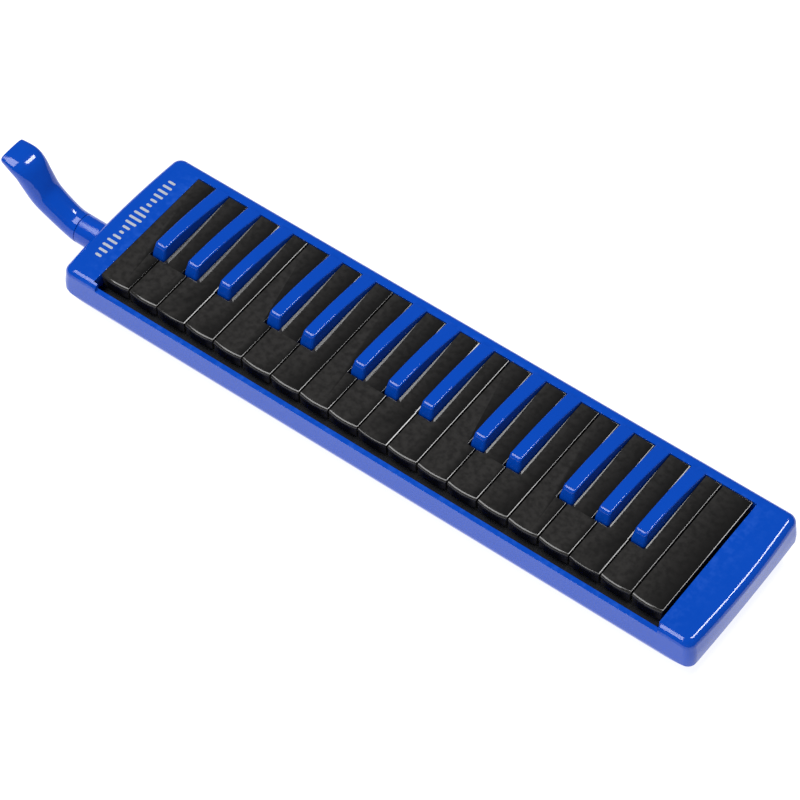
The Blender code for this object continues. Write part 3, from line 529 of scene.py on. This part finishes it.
def upper_outline(z, inset):
    shoulder = COVER_TOP - COVER_EDGE_RADIUS
    spread = min(max((shoulder - z) / (shoulder - WIDEST_Z), 0.0), 1.0)
    radius = mix(TOP_CORNER_RADIUS, WIDEST_CORNER_RADIUS, spread) - 0.6 * inset
    return case_outline(z, inset, radius, mix(TOP_BULGE, WIDEST_BULGE, spread))


def lower_outline(turn, centre_z, drop, inset):
    depth = math.sin(turn)
    radius = mix(WIDEST_CORNER_RADIUS - 0.3 * inset, UNDERSIDE_CORNER_RADIUS, depth)
    return case_outline(
        centre_z - drop * depth,
        inset + drop * (1 - math.cos(turn)),
        radius,
        mix(WIDEST_BULGE, UNDERSIDE_BULGE, depth),
        depth,
    )


def quarter(steps):
    return [math.pi / 2 * step / steps for step in range(steps + 1)]


def socket_hole(name):
    """A cutter through the case's left end, for the blow socket."""
    ends = (COVER_LOW.x - 5 * MM, COVER_LOW.x + 5 * MM)
    return turned(name, "X", (BLOW_Y, BLOW_Z), [(end, SOCKET_HOLE_RADIUS) for end in ends])


def near(value, target, slack=0.02 * MM):
    return abs(value - target) < slack


def cover_edge_weight(first, second, _edge):
    """The rounded edges round the key well, along the front rail and up the end plates' steps."""
    middle = (first + second) / 2
    if middle.z < RAIL_TOP - 0.1 * MM:
        return 0.0
    inside = WELL_LEFT - 0.1 * MM < middle.x < WELL_RIGHT + 0.1 * MM and middle.y > WELL_FRONT - 0.1 * MM
    on_rail = near(middle.z, RAIL_TOP) and RAIL_LEFT - 0.1 * MM < middle.x < RAIL_RIGHT + 0.1 * MM
    on_step = near(middle.x, RAIL_LEFT) or near(middle.x, RAIL_RIGHT)
    if not (inside or on_rail or on_step):
        return 0.0
    if near(middle.z, RAIL_TOP) and middle.y < WELL_FRONT - 3.5 * MM and not on_step:
        return 1.0
    return 0.5


def make_top_cover():
    shoulder = COVER_TOP - COVER_EDGE_RADIUS
    rings = []
    for turn in quarter(14):
        drop = COVER_EDGE_RADIUS * (1 - math.cos(turn))
        rings.append(upper_outline(COVER_TOP - drop, COVER_EDGE_RADIUS * (1 - math.sin(turn))))
    levels = [mix(shoulder, WIDEST_Z, 0.5), WIDEST_Z, PARTING_Z + 0.3 * MM]
    rings += [upper_outline(z, 0) for z in levels] + [upper_outline(PARTING_Z, 0.3 * MM)]
    rings += [upper_outline(z, WALL) for z in (PARTING_Z, WIDEST_Z, levels[0], shoulder)]
    rings.append(upper_outline(COVER_TOP - WALL, COVER_EDGE_RADIUS))
    cover = loft("top_cover_shell", rings)
    under = COVER_TOP - WALL
    inner_front = COVER_LOW.y + WALL - 0.5 * MM
    tools = [
        (
            "UNION",
            block(
                "skirts",
                (WELL_LEFT - WALL, inner_front, COVER_TOP - WELL_SKIRT),
                (WELL_RIGHT + WALL, WELL_REAR + WALL, under + 0.5 * MM),
            ),
        )
    ]
    for index in range(1, 5):
        x, y = screw_place(index)
        profile = [(under + 0.5 * MM, SCREW_COLUMN_RADIUS), (BOSS_TOP + GAP, SCREW_COLUMN_RADIUS)]
        tools.append(("UNION", turned(f"column_{index}", "Z", (x, y), profile, sides=24)))
    well_low = (WELL_LEFT, WELL_FRONT, COVER_TOP - WELL_SKIRT - 1 * MM)
    tools.append(("DIFFERENCE", block("well", well_low, (WELL_RIGHT, WELL_REAR, KEY_TOP + 5 * MM))))
    rail_low = (RAIL_LEFT, COVER_LOW.y - 5 * MM, RAIL_TOP)
    tools.append(("DIFFERENCE", block("rail", rail_low, (RAIL_RIGHT, WELL_FRONT + 1 * MM, KEY_TOP + 5 * MM))))
    tools.append(("DIFFERENCE", socket_hole("top_socket_hole")))
    for index in range(1, 5):
        ends = (BOSS_TOP - 1 * MM, KEY_TOP - 8.5 * MM)
        hole = [(end, SCREW_SHANK_WAY_RADIUS) for end in ends]
        tools.append(("DIFFERENCE", turned(f"screw_way_{index}", "Z", screw_place(index), hole, sides=16)))
    combined(cover, tools)
    cleaned(cover)
    softened(cover, 0.7 * MM, cover_edge_weight)
    return piece(cover, BLUE, "case", "blue_plastic", "top_cover")


def screw_place(index):
    low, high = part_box(f"case_screw_{index}")
    return ((low.x + high.x) / 2, (low.y + high.y) / 2)


def bottom_edge_weight(first, second, _edge):
    middle = (first + second) / 2
    return 1.0 if middle.z < 0.05 * MM else 0.0


def make_bottom_cover():
    top = PARTING_Z - GAP
    rings = [upper_outline(top, WALL), upper_outline(top, PARTING_STEP + 0.3 * MM)]
    rings.append(upper_outline(top - 0.3 * MM, PARTING_STEP))
    for turn in quarter(16):
        rings.append(lower_outline(turn, UNDERSIDE_RADIUS, UNDERSIDE_RADIUS, PARTING_STEP))
    inside = []
    for turn in reversed(quarter(6)):
        inside.append(lower_outline(turn, UNDERSIDE_RADIUS, UNDERSIDE_RADIUS - WALL, WALL))
    cover = loft("bottom_cover_shell", inside + rings)
    strap_low, strap_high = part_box("hand_strap")
    half_x = (strap_high.x - strap_low.x) / 2 + 2 * MM
    half_y = (strap_high.y - strap_low.y) / 2 + 2 * MM
    roof = rounded_rectangle((CASE_CENTRE_X, 0), half_x + WALL, half_y + WALL, 4 * MM)
    tools = [("UNION", prism("recess_roof", "Z", roof, 1 * MM, STRAP_RECESS_DEPTH + WALL))]
    for index in range(1, 7):
        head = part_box(f"case_screw_{index}")[0].z
        profile = [(max(1 * MM, head - 2.2 * MM), SCREW_BOSS_RADIUS), (BOSS_TOP, SCREW_BOSS_RADIUS)]
        tools.append(("UNION", turned(f"boss_{index}", "Z", screw_place(index), profile, sides=24)))
    collar = [(1 * MM, DRAIN_CAP_RADIUS + 2 * MM), (4 * MM, DRAIN_CAP_RADIUS + 2 * MM)]
    tools.append(("UNION", turned("drain_collar", "Z", (DRAIN_X, DRAIN_Y), collar)))
    recess = rounded_rectangle((CASE_CENTRE_X, 0), half_x, half_y, 2 * MM)
    tools.append(("DIFFERENCE", prism("recess", "Z", recess, -1 * MM, STRAP_RECESS_DEPTH)))
    for index in range(1, 7):
        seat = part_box(f"case_screw_{index}")[0].z + 2.3 * MM
        hole = [(-1 * MM, SCREW_HEAD_WAY_RADIUS), (seat, SCREW_HEAD_WAY_RADIUS)]
        hole += [(seat, SCREW_SHANK_WAY_RADIUS), (BOSS_TOP + 1 * MM, SCREW_SHANK_WAY_RADIUS)]
        tools.append(("DIFFERENCE", turned(f"screw_hole_{index}", "Z", screw_place(index), hole, sides=32)))
    drain = [(-1 * MM, DRAIN_CAP_RADIUS + 0.4 * MM), (5 * MM, DRAIN_CAP_RADIUS + 0.4 * MM)]
    tools.append(("DIFFERENCE", turned("drain_hole", "Z", (DRAIN_X, DRAIN_Y), drain)))
    tools.append(("DIFFERENCE", socket_hole("bottom_socket_hole")))
    combined(cover, tools)
    cleaned(cover)
    softened(cover, 0.4 * MM, bottom_edge_weight)
    return piece(cover, BLUE, "case", "blue_plastic", "bottom_cover")


# Keys


def natural_weight(first, second, edge):
    """The playing surface's rim, widest along the bowed front, and the front's upright corners."""
    middle = (first + second) / 2
    if min(face.normal.x for face in edge.link_faces) < -0.9 and middle.y > KEY_FRONT + 3 * MM:
        return 0.06
    if middle.z > KEY_TOP - 0.01 * MM:
        return 1.0 if middle.y < KEY_FRONT + 1.5 * MM and abs(first.x - second.x) > 0.1 * MM else 0.26
    upright = abs(first.x - second.x) < 0.01 * MM and abs(first.y - second.y) < 0.01 * MM
    if upright and middle.y < KEY_FRONT + 0.2 * MM:
        return 0.4
    return 0.0


def right_shoulders(obj):
    """Wedges that slope the playing surface down a little along each of its right-hand edges."""
    places = {}
    for polygon in obj.data.polygons:
        if polygon.normal.x < 0.99:
            continue
        corners = [obj.data.vertices[vertex].co for vertex in polygon.vertices]
        if max(corner.z for corner in corners) < KEY_TOP - 0.01 * MM:
            continue
        key = round(corners[0].x / (0.01 * MM))
        ends = places.setdefault(key, [corners[0].x, 1.0, -1.0])
        ends[1] = min([ends[1]] + [corner.y for corner in corners])
        ends[2] = max([ends[2]] + [corner.y for corner in corners])
    tools = []
    for number, (x, start, end) in enumerate(places.values()):
        start -= 3 * MM if start < KEY_FRONT + 3 * MM else 0
        inner, outer = x - SHOULDER_WIDTH, x + SHOULDER_OVERHANG
        low = KEY_TOP - (SHOULDER_WIDTH + SHOULDER_OVERHANG) * math.tan(SHOULDER_TILT)
        high = KEY_TOP + 1 * MM
        rings = []
        for y in (start, end):
            rings.append([(inner, y, KEY_TOP), (outer, y, low), (outer, y, high), (inner, y, high)])
        tools.append(("DIFFERENCE", loft(f"{obj.name}_shoulder_{number}", rings)))
    return tools


def make_natural(node):
    obj = bpy.data.objects.new(node + "_key", NODES[node].data.copy())
    bpy.context.scene.collection.objects.link(obj)
    cleaned(obj, 1.0)
    shoulders = right_shoulders(obj)
    softened(obj, 1.6 * MM, natural_weight, segments=8, sharp=20)
    combined(obj, shoulders)
    cleaned(obj)
    return piece(obj, BLACK, node, "black_plastic", node, smooth=13)


def half_round(radius, bottom, steps=12):
    """An outline that goes up one side, over a half circle and down the other side."""
    arc = [math.pi - math.pi * step / steps for step in range(steps + 1)]
    over = [(radius * math.cos(a), radius * math.sin(a)) for a in arc]
    return [(-radius, bottom)] + over + [(radius, bottom)]


def lever_outline(front):
    """Side view of a key's lever about the axle: rib, axle hook, tail and valve pad."""
    top = KEY_TOP - 1.8 * MM - AXLE_Z
    rib = KEY_TOP - 4.4 * MM - AXLE_Z
    outline = [(front, top), (front, rib), (-4.5 * MM, rib), (-4.5 * MM, -2.5 * MM)]
    outline += half_round(1.55 * MM, -2.5 * MM)
    outline += [(4.5 * MM, -2.5 * MM), (4.5 * MM, rib), (13 * MM, rib), (13 * MM, -1.2 * MM)]
    outline += [(13.4 * MM, -1.2 * MM), (13.4 * MM, -3.7 * MM)]
    outline += [(23.6 * MM, -3.7 * MM), (23.6 * MM, -1.2 * MM)]
    outline += [(24 * MM, -1.2 * MM), (24 * MM, top)]
    return [(AXLE_Y + y, AXLE_Z + z) for y, z in outline]


def sharp_stations():
    """Places round the right half of a sharp's plan outline, from its rear corner: (part, share)."""
    side = [("side", step / 26) for step in range(26)]
    corner = [("corner", step / 9) for step in range(10)]
    return side + corner + [("front", 0.4), ("front", 0.8)]


def sharp_top(y):
    start = SHARP_FRONT + 4.2 * MM
    share = max(0.0, (y - start) / (KEY_REAR - start))
    return KEY_TOP + SHARP_HEIGHT - (SHARP_HEIGHT - SHARP_END_HEIGHT) * share**2


def sharp_point(part, share, level, turn):
    """A point on the right half of a sharp: level 0 to 1 climbs its flanks, then turn rounds its top edge."""
    base = KEY_TOP - 3 * MM
    facing = {"side": 0.0, "corner": math.pi / 2 * share, "front": math.pi / 2}[part]
    radius = mix(0.85 * MM, 1.9 * MM, math.sin(facing) ** 2)
    y = mix(KEY_REAR, SHARP_FRONT + 4 * MM, share) if part == "side" else SHARP_FRONT
    z = mix(base, sharp_top(y) - radius, level) + radius * math.sin(turn)
    above = max(0.0, z - KEY_TOP)
    side_inset = SHARP_SIDE_LEAN * above + radius * (1 - math.cos(turn))
    step_in = 0.2 * MM * min(1.0, (z - base) / (3 * MM))
    front_inset = step_in + SHARP_FRONT_LEAN * above + radius * (1 - math.cos(turn))
    half = SHARP_WIDTH / 2 - side_inset
    front = SHARP_FRONT + front_inset
    corner = mix(1.9 * MM, 0.6 * MM, level * (1 - math.cos(turn)))
    if part == "side":
        return half, mix(KEY_REAR, front + corner, share), z
    if part == "corner":
        return half - corner * (1 - math.cos(facing)), front + corner * (1 - math.sin(facing)), z
    return (half - corner) * (1 - share), front, z


def sharp_ring(centre_x, level, turn):
    right = [sharp_point(part, share, level, turn) for part, share in sharp_stations()]
    points = right + [(-x, y, z) for x, y, z in reversed(right)]
    return [(centre_x + x, y, z) for x, y, z in points]


def make_sharp(node):
    low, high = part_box(node)
    centre_x = (low.x + high.x) / 2
    rings = [sharp_ring(centre_x, level, 0.0) for level in (0, 0.25, 0.5, 0.75, 1)]
    rings += [sharp_ring(centre_x, 1, turn) for turn in quarter(7)[1:]]
    points, faces = skin(rings, loop=False)
    faces.pop()
    count = len(rings[0])
    first = len(points) - count
    for i in range(count // 2 - 1):
        faces.append((first + i, first + i + 1, first + count - 2 - i, first + count - 1 - i))
    obj = new_object(node + "_key", points, faces)
    outline = lever_outline(SHARP_FRONT + 4 * MM - AXLE_Y)
    lever = prism("lever", "X", outline, centre_x - 2.5 * MM, centre_x + 2.5 * MM)
    combined(obj, [("UNION", lever)])
    return piece(obj, BLUE, node, "blue_plastic", node, smooth=40)


# Wind way

# The neck's stations: along and up from its seam, half width and half height, in millimetres
NECK = (
    (0.0, 0.0, 9.15, 9.15),
    (-2.0, 0.1, 9.1, 9.1),
    (-8.5, 1.9, 8.8, 8.7),
    (-17.4, 6.4, 9.0, 8.5),
    (-26.3, 12.4, 9.5, 8.2),
    (-32.4, 20.9, 10.1, 7.8),
    (-36.7, 27.7, 10.7, 6.5),
    (-41.6, 31.2, 10.9, 4.6),
    (-50.1, 33.4, 9.5, 2.6),
)


def spline(stations, steps):
    """Stations on a Catmull-Rom curve through the given ones."""
    found = []
    last = len(stations) - 1
    size = len(stations[0])
    for index in range(last):
        around = [stations[max(0, min(last, index + shift))] for shift in (-1, 0, 1, 2)]
        for step in range(steps):
            t = step / steps
            weights = (
                (-(t**3) + 2 * t**2 - t) / 2,
                (3 * t**3 - 5 * t**2 + 2) / 2,
                (-3 * t**3 + 4 * t**2 + t) / 2,
                (t**3 - t**2) / 2,
            )
            found.append(tuple(sum(w * s[i] for w, s in zip(weights, around)) for i in range(size)))
    return found + [stations[-1]]


def neck_ring(station, turn, shrink, forward=0.0, sides=56):
    along, up, half_width, half_height = station
    half_width = half_width - shrink
    half_height = half_height - min(shrink, half_height * 0.45)
    power = 2 / (2 + 1.6 * max(0.0, 1 - half_height / half_width))
    ring = []
    for i in range(sides):
        angle = 2 * math.pi * i / sides
        wide = half_width * math.copysign(abs(math.cos(angle)) ** power, math.cos(angle))
        high = half_height * math.copysign(abs(math.sin(angle)) ** power, math.sin(angle))
        x = SOCKET_MOUTH_X - GAP + (along + forward + high * math.sin(turn)) * MM
        z = BLOW_Z + (up + high * math.cos(turn)) * MM
        ring.append((x, BLOW_Y + wide * MM, z))
    return ring


def neck_turns(stations):
    turns = []
    last = len(stations) - 1
    for place in range(len(stations)):
        before = stations[max(place - 2, 0)]
        after = stations[min(place + 2, last)]
        turns.append(math.atan2(after[1] - before[1], before[0] - after[0]))
    ends = 5
    for place in range(ends):
        turns[place] *= place / ends
        turns[last - place] *= place / ends
    return turns


def round_ring(x, radius, sides=56):
    angles = [2 * math.pi * i / sides for i in range(sides)]
    return [(x, BLOW_Y + radius * math.cos(a), BLOW_Z + radius * math.sin(a)) for a in angles]


def make_mouthpiece():
    seam = SOCKET_MOUTH_X - GAP
    plug_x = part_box("mouthpiece")[1].x
    stations = spline(NECK, 7)
    turns = neck_turns(stations)
    outside = [round_ring(plug_x, 5.2 * MM), round_ring(plug_x - 0.4 * MM, 5.6 * MM)]
    outside += [round_ring(seam, 5.6 * MM), round_ring(seam, 8.75 * MM)]
    outside.append(round_ring(seam - 0.12 * MM, 9.03 * MM))
    outside += [neck_ring(s, turn, 0.0) for s, turn in list(zip(stations, turns))[2:-1]]
    tip = stations[-1]
    outside += [neck_ring(tip, 0.0, 0.0, 0.7), neck_ring(tip, 0.0, 0.1, 0.25), neck_ring(tip, 0.0, 0.4, 0.0)]
    inside = [neck_ring(tip, 0.0, 1.0, 0.0), neck_ring(tip, 0.0, 1.5, 0.35)]
    inside += [neck_ring(s, turn, 2.0) for s, turn in list(zip(stations, turns))[-3:3:-2]]
    inside += [round_ring(seam, 4.7 * MM), round_ring(plug_x - 0.5 * MM, 4.1 * MM)]
    inside.append(round_ring(plug_x, 4.5 * MM))
    obj = loft("mouthpiece_neck", outside + inside, loop=True)
    return piece(obj, BLUE, "mouthpiece", "blue_plastic", "mouthpiece", smooth=50)


def make_socket():
    radius = SOCKET_RADIUS
    wall_x = COVER_LOW.x + WALL + 5.2 * MM
    inner_x = SOCKET_HIGH.x
    profile = [(SOCKET_MOUTH_X, radius - 0.45 * MM), (SOCKET_MOUTH_X + 0.12 * MM, radius - 0.12 * MM)]
    profile += [(SOCKET_MOUTH_X + 0.45 * MM, radius), (wall_x, radius), (wall_x, 10.6 * MM)]
    profile += [(wall_x + 0.2 * MM, 10.8 * MM), (wall_x + 1.8 * MM, 10.8 * MM), (wall_x + 2 * MM, 10.6 * MM)]
    profile += [(wall_x + 2 * MM, radius), (inner_x, radius), (inner_x, 6.4 * MM), (wall_x, 6.4 * MM)]
    profile += [(wall_x, 7.4 * MM), (SOCKET_MOUTH_X + 0.4 * MM, 7.4 * MM), (SOCKET_MOUTH_X, 7.8 * MM)]
    obj = turned("blow_socket_tube", "X", (BLOW_Y, BLOW_Z), profile, loop=True, sides=72)
    return piece(obj, BLUE, "case", "blue_plastic", "blow_socket")


# Underside: screws, water key and hand strap


def make_screw(index):
    """A pan-head screw with a cross recess, its head facing down out of the case."""
    node = f"case_screw_{index}"
    low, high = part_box(node)
    x, y = screw_place(index)
    base = low.z
    profile = [(base, 1.3 * MM), (base + 0.1 * MM, 2 * MM), (base + 0.35 * MM, 2.6 * MM)]
    profile += [(base + 0.8 * MM, 2.92 * MM), (base + 1.3 * MM, 3 * MM), (base + 2 * MM, 3 * MM)]
    profile += [(base + 2 * MM, 1.45 * MM), (high.z - 1.5 * MM, 1.45 * MM), (high.z, 0.4 * MM)]
    screw = turned(node + "_driven", "Z", (x, y), profile, sides=40)
    recess = ((base - 0.5 * MM, 1.75 * MM, 0.42 * MM), (base + 1.2 * MM, 1.1 * MM, 0.3 * MM))
    tools = []
    turn = math.radians(17 + 31 * index)
    for arm in (0, 1):
        angle = turn + arm * math.pi / 2
        rings = []
        for z, half_long, half_wide in recess:
            ring = []
            for u, v in ((1, 1), (-1, 1), (-1, -1), (1, -1)):
                along, across = u * half_long, v * half_wide
                corner_x = x + along * math.cos(angle) - across * math.sin(angle)
                corner_y = y + along * math.sin(angle) + across * math.cos(angle)
                ring.append((corner_x, corner_y, z))
            rings.append(ring)
        tools.append(("DIFFERENCE", loft(f"cross_{index}_{arm}", rings)))
    combined(screw, tools)
    piece(screw, STEEL, "case", "steel", node)


def make_drain_button():
    """The water key's cap, with a rounded rim and three finger grooves, on its stem."""
    low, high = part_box("drain_button")
    base = low.z
    radius = DRAIN_CAP_RADIUS
    profile = [(base + 0.12 * MM, 0.5 * MM)]
    for ring in range(3):
        start = (1.1 + 1.25 * ring) * MM
        profile += [(base, start), (base, start + 0.5 * MM), (base + 0.28 * MM, start + 0.75 * MM)]
        profile.append((base + 0.28 * MM, start + 1 * MM))
    profile += [(base, 4.85 * MM), (base, radius - 0.45 * MM), (base + 0.14 * MM, radius - 0.13 * MM)]
    profile += [(base + 0.45 * MM, radius), (base + 1.8 * MM, radius), (base + 1.8 * MM, 1.4 * MM)]
    profile += [(high.z - 0.7 * MM, 1.4 * MM), (high.z - 0.7 * MM, 2.5 * MM), (high.z - 0.6 * MM, 2.6 * MM)]
    profile += [(high.z - 0.1 * MM, 2.6 * MM), (high.z, 2.5 * MM)]
    button = turned("water_key_button", "Z", (DRAIN_X, DRAIN_Y), profile, sides=64)
    piece(button, BLUE, "water_key", "blue_plastic", "drain_button", smooth=40)


def make_drain_spring(turns=4, steps=28, sides=10):
    """The coil that lifts the water key's button."""
    low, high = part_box("drain_spring")
    coil = (high.x - low.x) / 2 - DRAIN_WIRE_RADIUS
    rings = []
    for step in range(turns * steps + 1):
        share = step / (turns * steps)
        angle = 2 * math.pi * step / steps
        z = mix(low.z + DRAIN_WIRE_RADIUS, high.z - DRAIN_WIRE_RADIUS, share)
        ring = []
        for side in range(sides):
            around = 2 * math.pi * side / sides
            radius = coil + DRAIN_WIRE_RADIUS * math.cos(around)
            ring.append((DRAIN_X + radius * math.cos(angle), DRAIN_Y + radius * math.sin(angle),
                         z + DRAIN_WIRE_RADIUS * math.sin(around)))
        rings.append(ring)
    spring = loft("water_key_spring", rings)
    piece(spring, STEEL, "case", "steel", "drain_spring", smooth=60)
    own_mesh(spring)


def make_strap():
    """Ribbed webbing with rolled edges; it lies in the recess with a slight waviness."""
    low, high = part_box("hand_strap")
    thick = (high.z - low.z) / 2
    wide = (high.y - low.y) / 2
    middle_z = (low.z + high.z) / 2
    section = []
    steps = 40
    for i in range(steps):
        angle = 2 * math.pi * i / steps
        across = math.copysign(abs(math.cos(angle)) ** 0.28, math.cos(angle))
        up = math.copysign(abs(math.sin(angle)) ** 0.55, math.sin(angle))
        section.append((across, up))
    rings = []
    count = 420
    for i in range(count + 1):
        share = i / count
        x = mix(low.x, high.x, share)
        rib = STRAP_RIB_HEIGHT * math.cos(2 * math.pi * (x - low.x) / STRAP_RIB_PITCH)
        free = math.sin(math.pi * share) ** 2
        wave = 0.09 * MM * free * math.sin(9 * share + 1)
        edge = 0.12 * MM * free * math.sin(21 * share)
        ring = []
        for across, up in section:
            height = (thick - 0.17 * MM) + rib * abs(up)
            y = across * (wide - 0.15 * MM) + edge * across
            ring.append((x, y, middle_z + up * height + wave * (1 - across**2)))
        rings.append(ring)
    strap = loft("hand_strap_webbing", rings)
    piece(strap, WEBBING, "case", "strap_webbing", "hand_strap", smooth=60)


def thread_run(start, end, z, stitch=2.4 * MM, gap=0.7 * MM, radius=0.22 * MM):
    """Points and faces of a row of stitches, each a flattened bead of thread."""
    direction = (end - start).normalized()
    side = Vector((-direction.y, direction.x, 0))
    length = (end - start).length
    count = max(1, int((length + gap) / (stitch + gap)))
    spare = (length - count * stitch - (count - 1) * gap) / 2
    shapes = []
    for index in range(count):
        first = start + direction * (spare + index * (stitch + gap))
        rings = []
        for share in (0, 0.12, 0.3, 0.5, 0.7, 0.88, 1):
            swell = max(0.25, math.sin(math.pi * share) ** 0.5)
            centre = first + direction * (stitch * share)
            ring = []
            for corner in range(8):
                angle = 2 * math.pi * corner / 8
                place = centre + side * (radius * swell * math.cos(angle))
                ring.append((place.x, place.y, z + radius * 0.6 * swell * math.sin(angle)))
            rings.append(ring)
        shapes.append(skin(rings, loop=False))
    return shapes


def make_stitching():
    """A sewn box with a cross in it beside each anchor, on the strap's outer face."""
    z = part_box("hand_strap")[0].z + 0.1 * MM
    points, faces = [], []
    for node, inward in (("strap_anchor_left", 1), ("strap_anchor_right", -1)):
        low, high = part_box(node)
        near_x = (high.x if inward > 0 else low.x) + inward * 2 * MM
        far_x = near_x + inward * 15 * MM
        half = 9 * MM
        corners = [Vector((near_x, -half, 0)), Vector((far_x, -half, 0)), Vector((far_x, half, 0)),
                   Vector((near_x, half, 0))]
        runs = [(corners[i], corners[(i + 1) % 4]) for i in range(4)]
        runs += [(corners[0], corners[2]), (corners[1], corners[3])]
        for start, end in runs:
            for more_points, more_faces in thread_run(start, end, z):
                faces += [tuple(i + len(points) for i in face) for face in more_faces]
                points += more_points
    threads = new_object("strap_stitching", points, faces)
    piece(threads, THREAD, "case", "strap_webbing", smooth=60)


def make_anchor(node):
    """A moulded plate over the strap's end, with rounded edges and four grip grooves."""
    low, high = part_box(node)
    centre = ((low.x + high.x) / 2, 0)
    half_x = (high.x - low.x) / 2
    half_y = (high.y - low.y) / 2
    rings = []
    thickness = high.z - low.z
    for inset, z in ((1.1, 0.0), (0.5, 0.06), (0.15, 0.25), (0, 0.55), (0, thickness / MM)):
        outline = rounded_rectangle(centre, half_x - inset * MM, half_y - inset * MM, (2 - inset * 0.5) * MM)
        rings.append([(x, y, low.z + z * MM) for x, y in outline])
    plate = loft(node + "_plate", rings)
    grooves = []
    for index in range(4):
        x = centre[0] + (index - 1.5) * 2.2 * MM
        outline = rounded_rectangle((x, 0), 0.45 * MM, half_y - 3.2 * MM, 0.4 * MM)
        groove = prism(f"groove_{index}", "Z", outline, low.z - 1 * MM, low.z + 0.35 * MM)
        grooves.append(("DIFFERENCE", groove))
    combined(plate, grooves)
    piece(plate, FRAME_BLACK, "case", "bed_plastic", node)


def make_print():
    """Plain silver bars along the left end plate, their lengths rising and falling like a sound."""
    points, faces = [], []
    middle_x = (COVER_LOW.x + WELL_LEFT) / 2 + 1.2 * MM
    for index in range(PRINTED_BARS):
        share = index / (PRINTED_BARS - 1)
        swell = abs(math.sin(2.6 * math.pi * share + 0.5)) * (0.55 + 0.45 * math.sin(math.pi * share))
        half = (1.3 + 3.1 * swell) * MM
        centre = (middle_x, mix(-33 * MM, 33 * MM, share))
        outline = rounded_rectangle(centre, half, 0.85 * MM, 0.8 * MM)
        rings = [[(x, y, z) for x, y in outline] for z in (COVER_TOP - 0.02 * MM, COVER_TOP + 0.03 * MM)]
        more_points, more_faces = skin(rings, loop=False)
        faces += [tuple(i + len(points) for i in face) for face in more_faces]
        points += more_points
    bars = new_object("silver_bars", points, faces)
    bars.data.materials.append(INK)
    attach(bars, "case")


# Camera, light and floor


def make_camera():
    """The photograph's viewpoint, placed from the lowest natural's front left corner."""
    corner = Vector((KEYBOARD_LEFT, KEY_FRONT, KEY_TOP))
    across = Vector((0.80330, 0.59556, 0.00411))
    down = Vector((0.47913, -0.64212, -0.59843))
    away = Vector((-0.35376, 0.48269, -0.80116))
    matrix = Matrix((across, -down, -away)).transposed().to_4x4()
    matrix.translation = corner + Vector((0.85778, -0.88554, 1.51861))
    data = bpy.data.cameras.new("photo_camera")
    data.sensor_width = 36
    data.lens = 156.08
    data.clip_start = 0.01
    data.clip_end = 50
    camera = bpy.data.objects.new("photo_camera", data)
    camera.matrix_world = matrix
    bpy.context.scene.collection.objects.link(camera)
    bpy.context.scene.camera = camera


def softbox(name, direction, distance, size_x, size_y, radiance):
    """An area light facing the case's middle, its sides along X and Y; radiance is how bright it looks."""
    data = bpy.data.lights.new(name, "AREA")
    data.shape = "RECTANGLE"
    data.size = size_x
    data.size_y = size_y
    data.energy = radiance * math.pi * size_x * size_y
    light = bpy.data.objects.new(name, data)
    place = Vector(direction).normalized()
    along_x = (Vector((1, 0, 0)) - place * place.x).normalized()
    turn = Matrix((along_x, place.cross(along_x), place)).transposed()
    light.matrix_world = Matrix.Translation(Vector((CASE_CENTRE_X, 0, 0)) + place * distance) @ turn.to_4x4()
    bpy.context.scene.collection.objects.link(light)
    return light


def make_stage():
    floor = block("floor", (-3, -3, -0.02), (3, 3, -0.0002))
    look = bpy.data.materials.new("pale_floor")
    look.use_nodes = True
    shader = look.node_tree.nodes["Principled BSDF"]
    shader.inputs["Base Color"].default_value = (0.34, 0.34, 0.34, 1)
    shader.inputs["Roughness"].default_value = 0.9
    shader.inputs["Emission Color"].default_value = (1.0, 1.0, 1.0, 1)
    shader.inputs["Emission Strength"].default_value = 0.88
    floor.data.materials.append(look)
    world = bpy.data.worlds.new("studio")
    world.use_nodes = True
    world.node_tree.nodes["Background"].inputs["Color"].default_value = (0.10, 0.105, 0.115, 1)
    bpy.context.scene.world = world
    bpy.context.scene.view_settings.view_transform = "Standard"
    softbox("softbox_over", (-0.345, -0.17, 0.92), 5.2, 1.75, 4.5, 6.6)
    softbox("strip_right", (0.10, 0.487, 0.87), 5.6, 1.15, 1.5, 20)
    fill = softbox("front_fill", (0.1, -0.88, 0.46), 4.0, 3.2, 1.6, 2.6)
    fill.visible_glossy = False


# Carried-over CAD parts

CARRIED = {
    "key_bed": FRAME_BLACK,
    "air_chamber_tray": FRAME_BLACK,
    "wind_elbow": FRAME_BLACK,
    "key_axle": STEEL,
    "key_spring_comb": STEEL,
    "key_stop_felt": FELT,
    "reed_cell_gasket": RUBBER,
    "chamber_gasket": RUBBER,
    "mouthpiece_seal": RUBBER,
    "drain_seal": RUBBER,
    "reed_plate_low": BRASS,
    "reed_plate_high": BRASS,
}


def dress_carried():
    for node, look in CARRIED.items():
        for slot in NODES[node].material_slots:
            slot.material = look


make_camera()
make_stage()
dress_carried()
make_top_cover()
make_bottom_cover()
for name in sorted(NODES):
    if name.startswith("key_") and "sharp" in name:
        make_sharp(name)
    elif name.startswith("key_") and name[-1].isdigit():
        make_natural(name)
make_mouthpiece()
make_socket()
for screw_index in range(1, 7):
    make_screw(screw_index)
make_drain_button()
make_drain_spring()
make_strap()
make_stitching()
make_anchor("strap_anchor_left")
make_anchor("strap_anchor_right")
make_print()
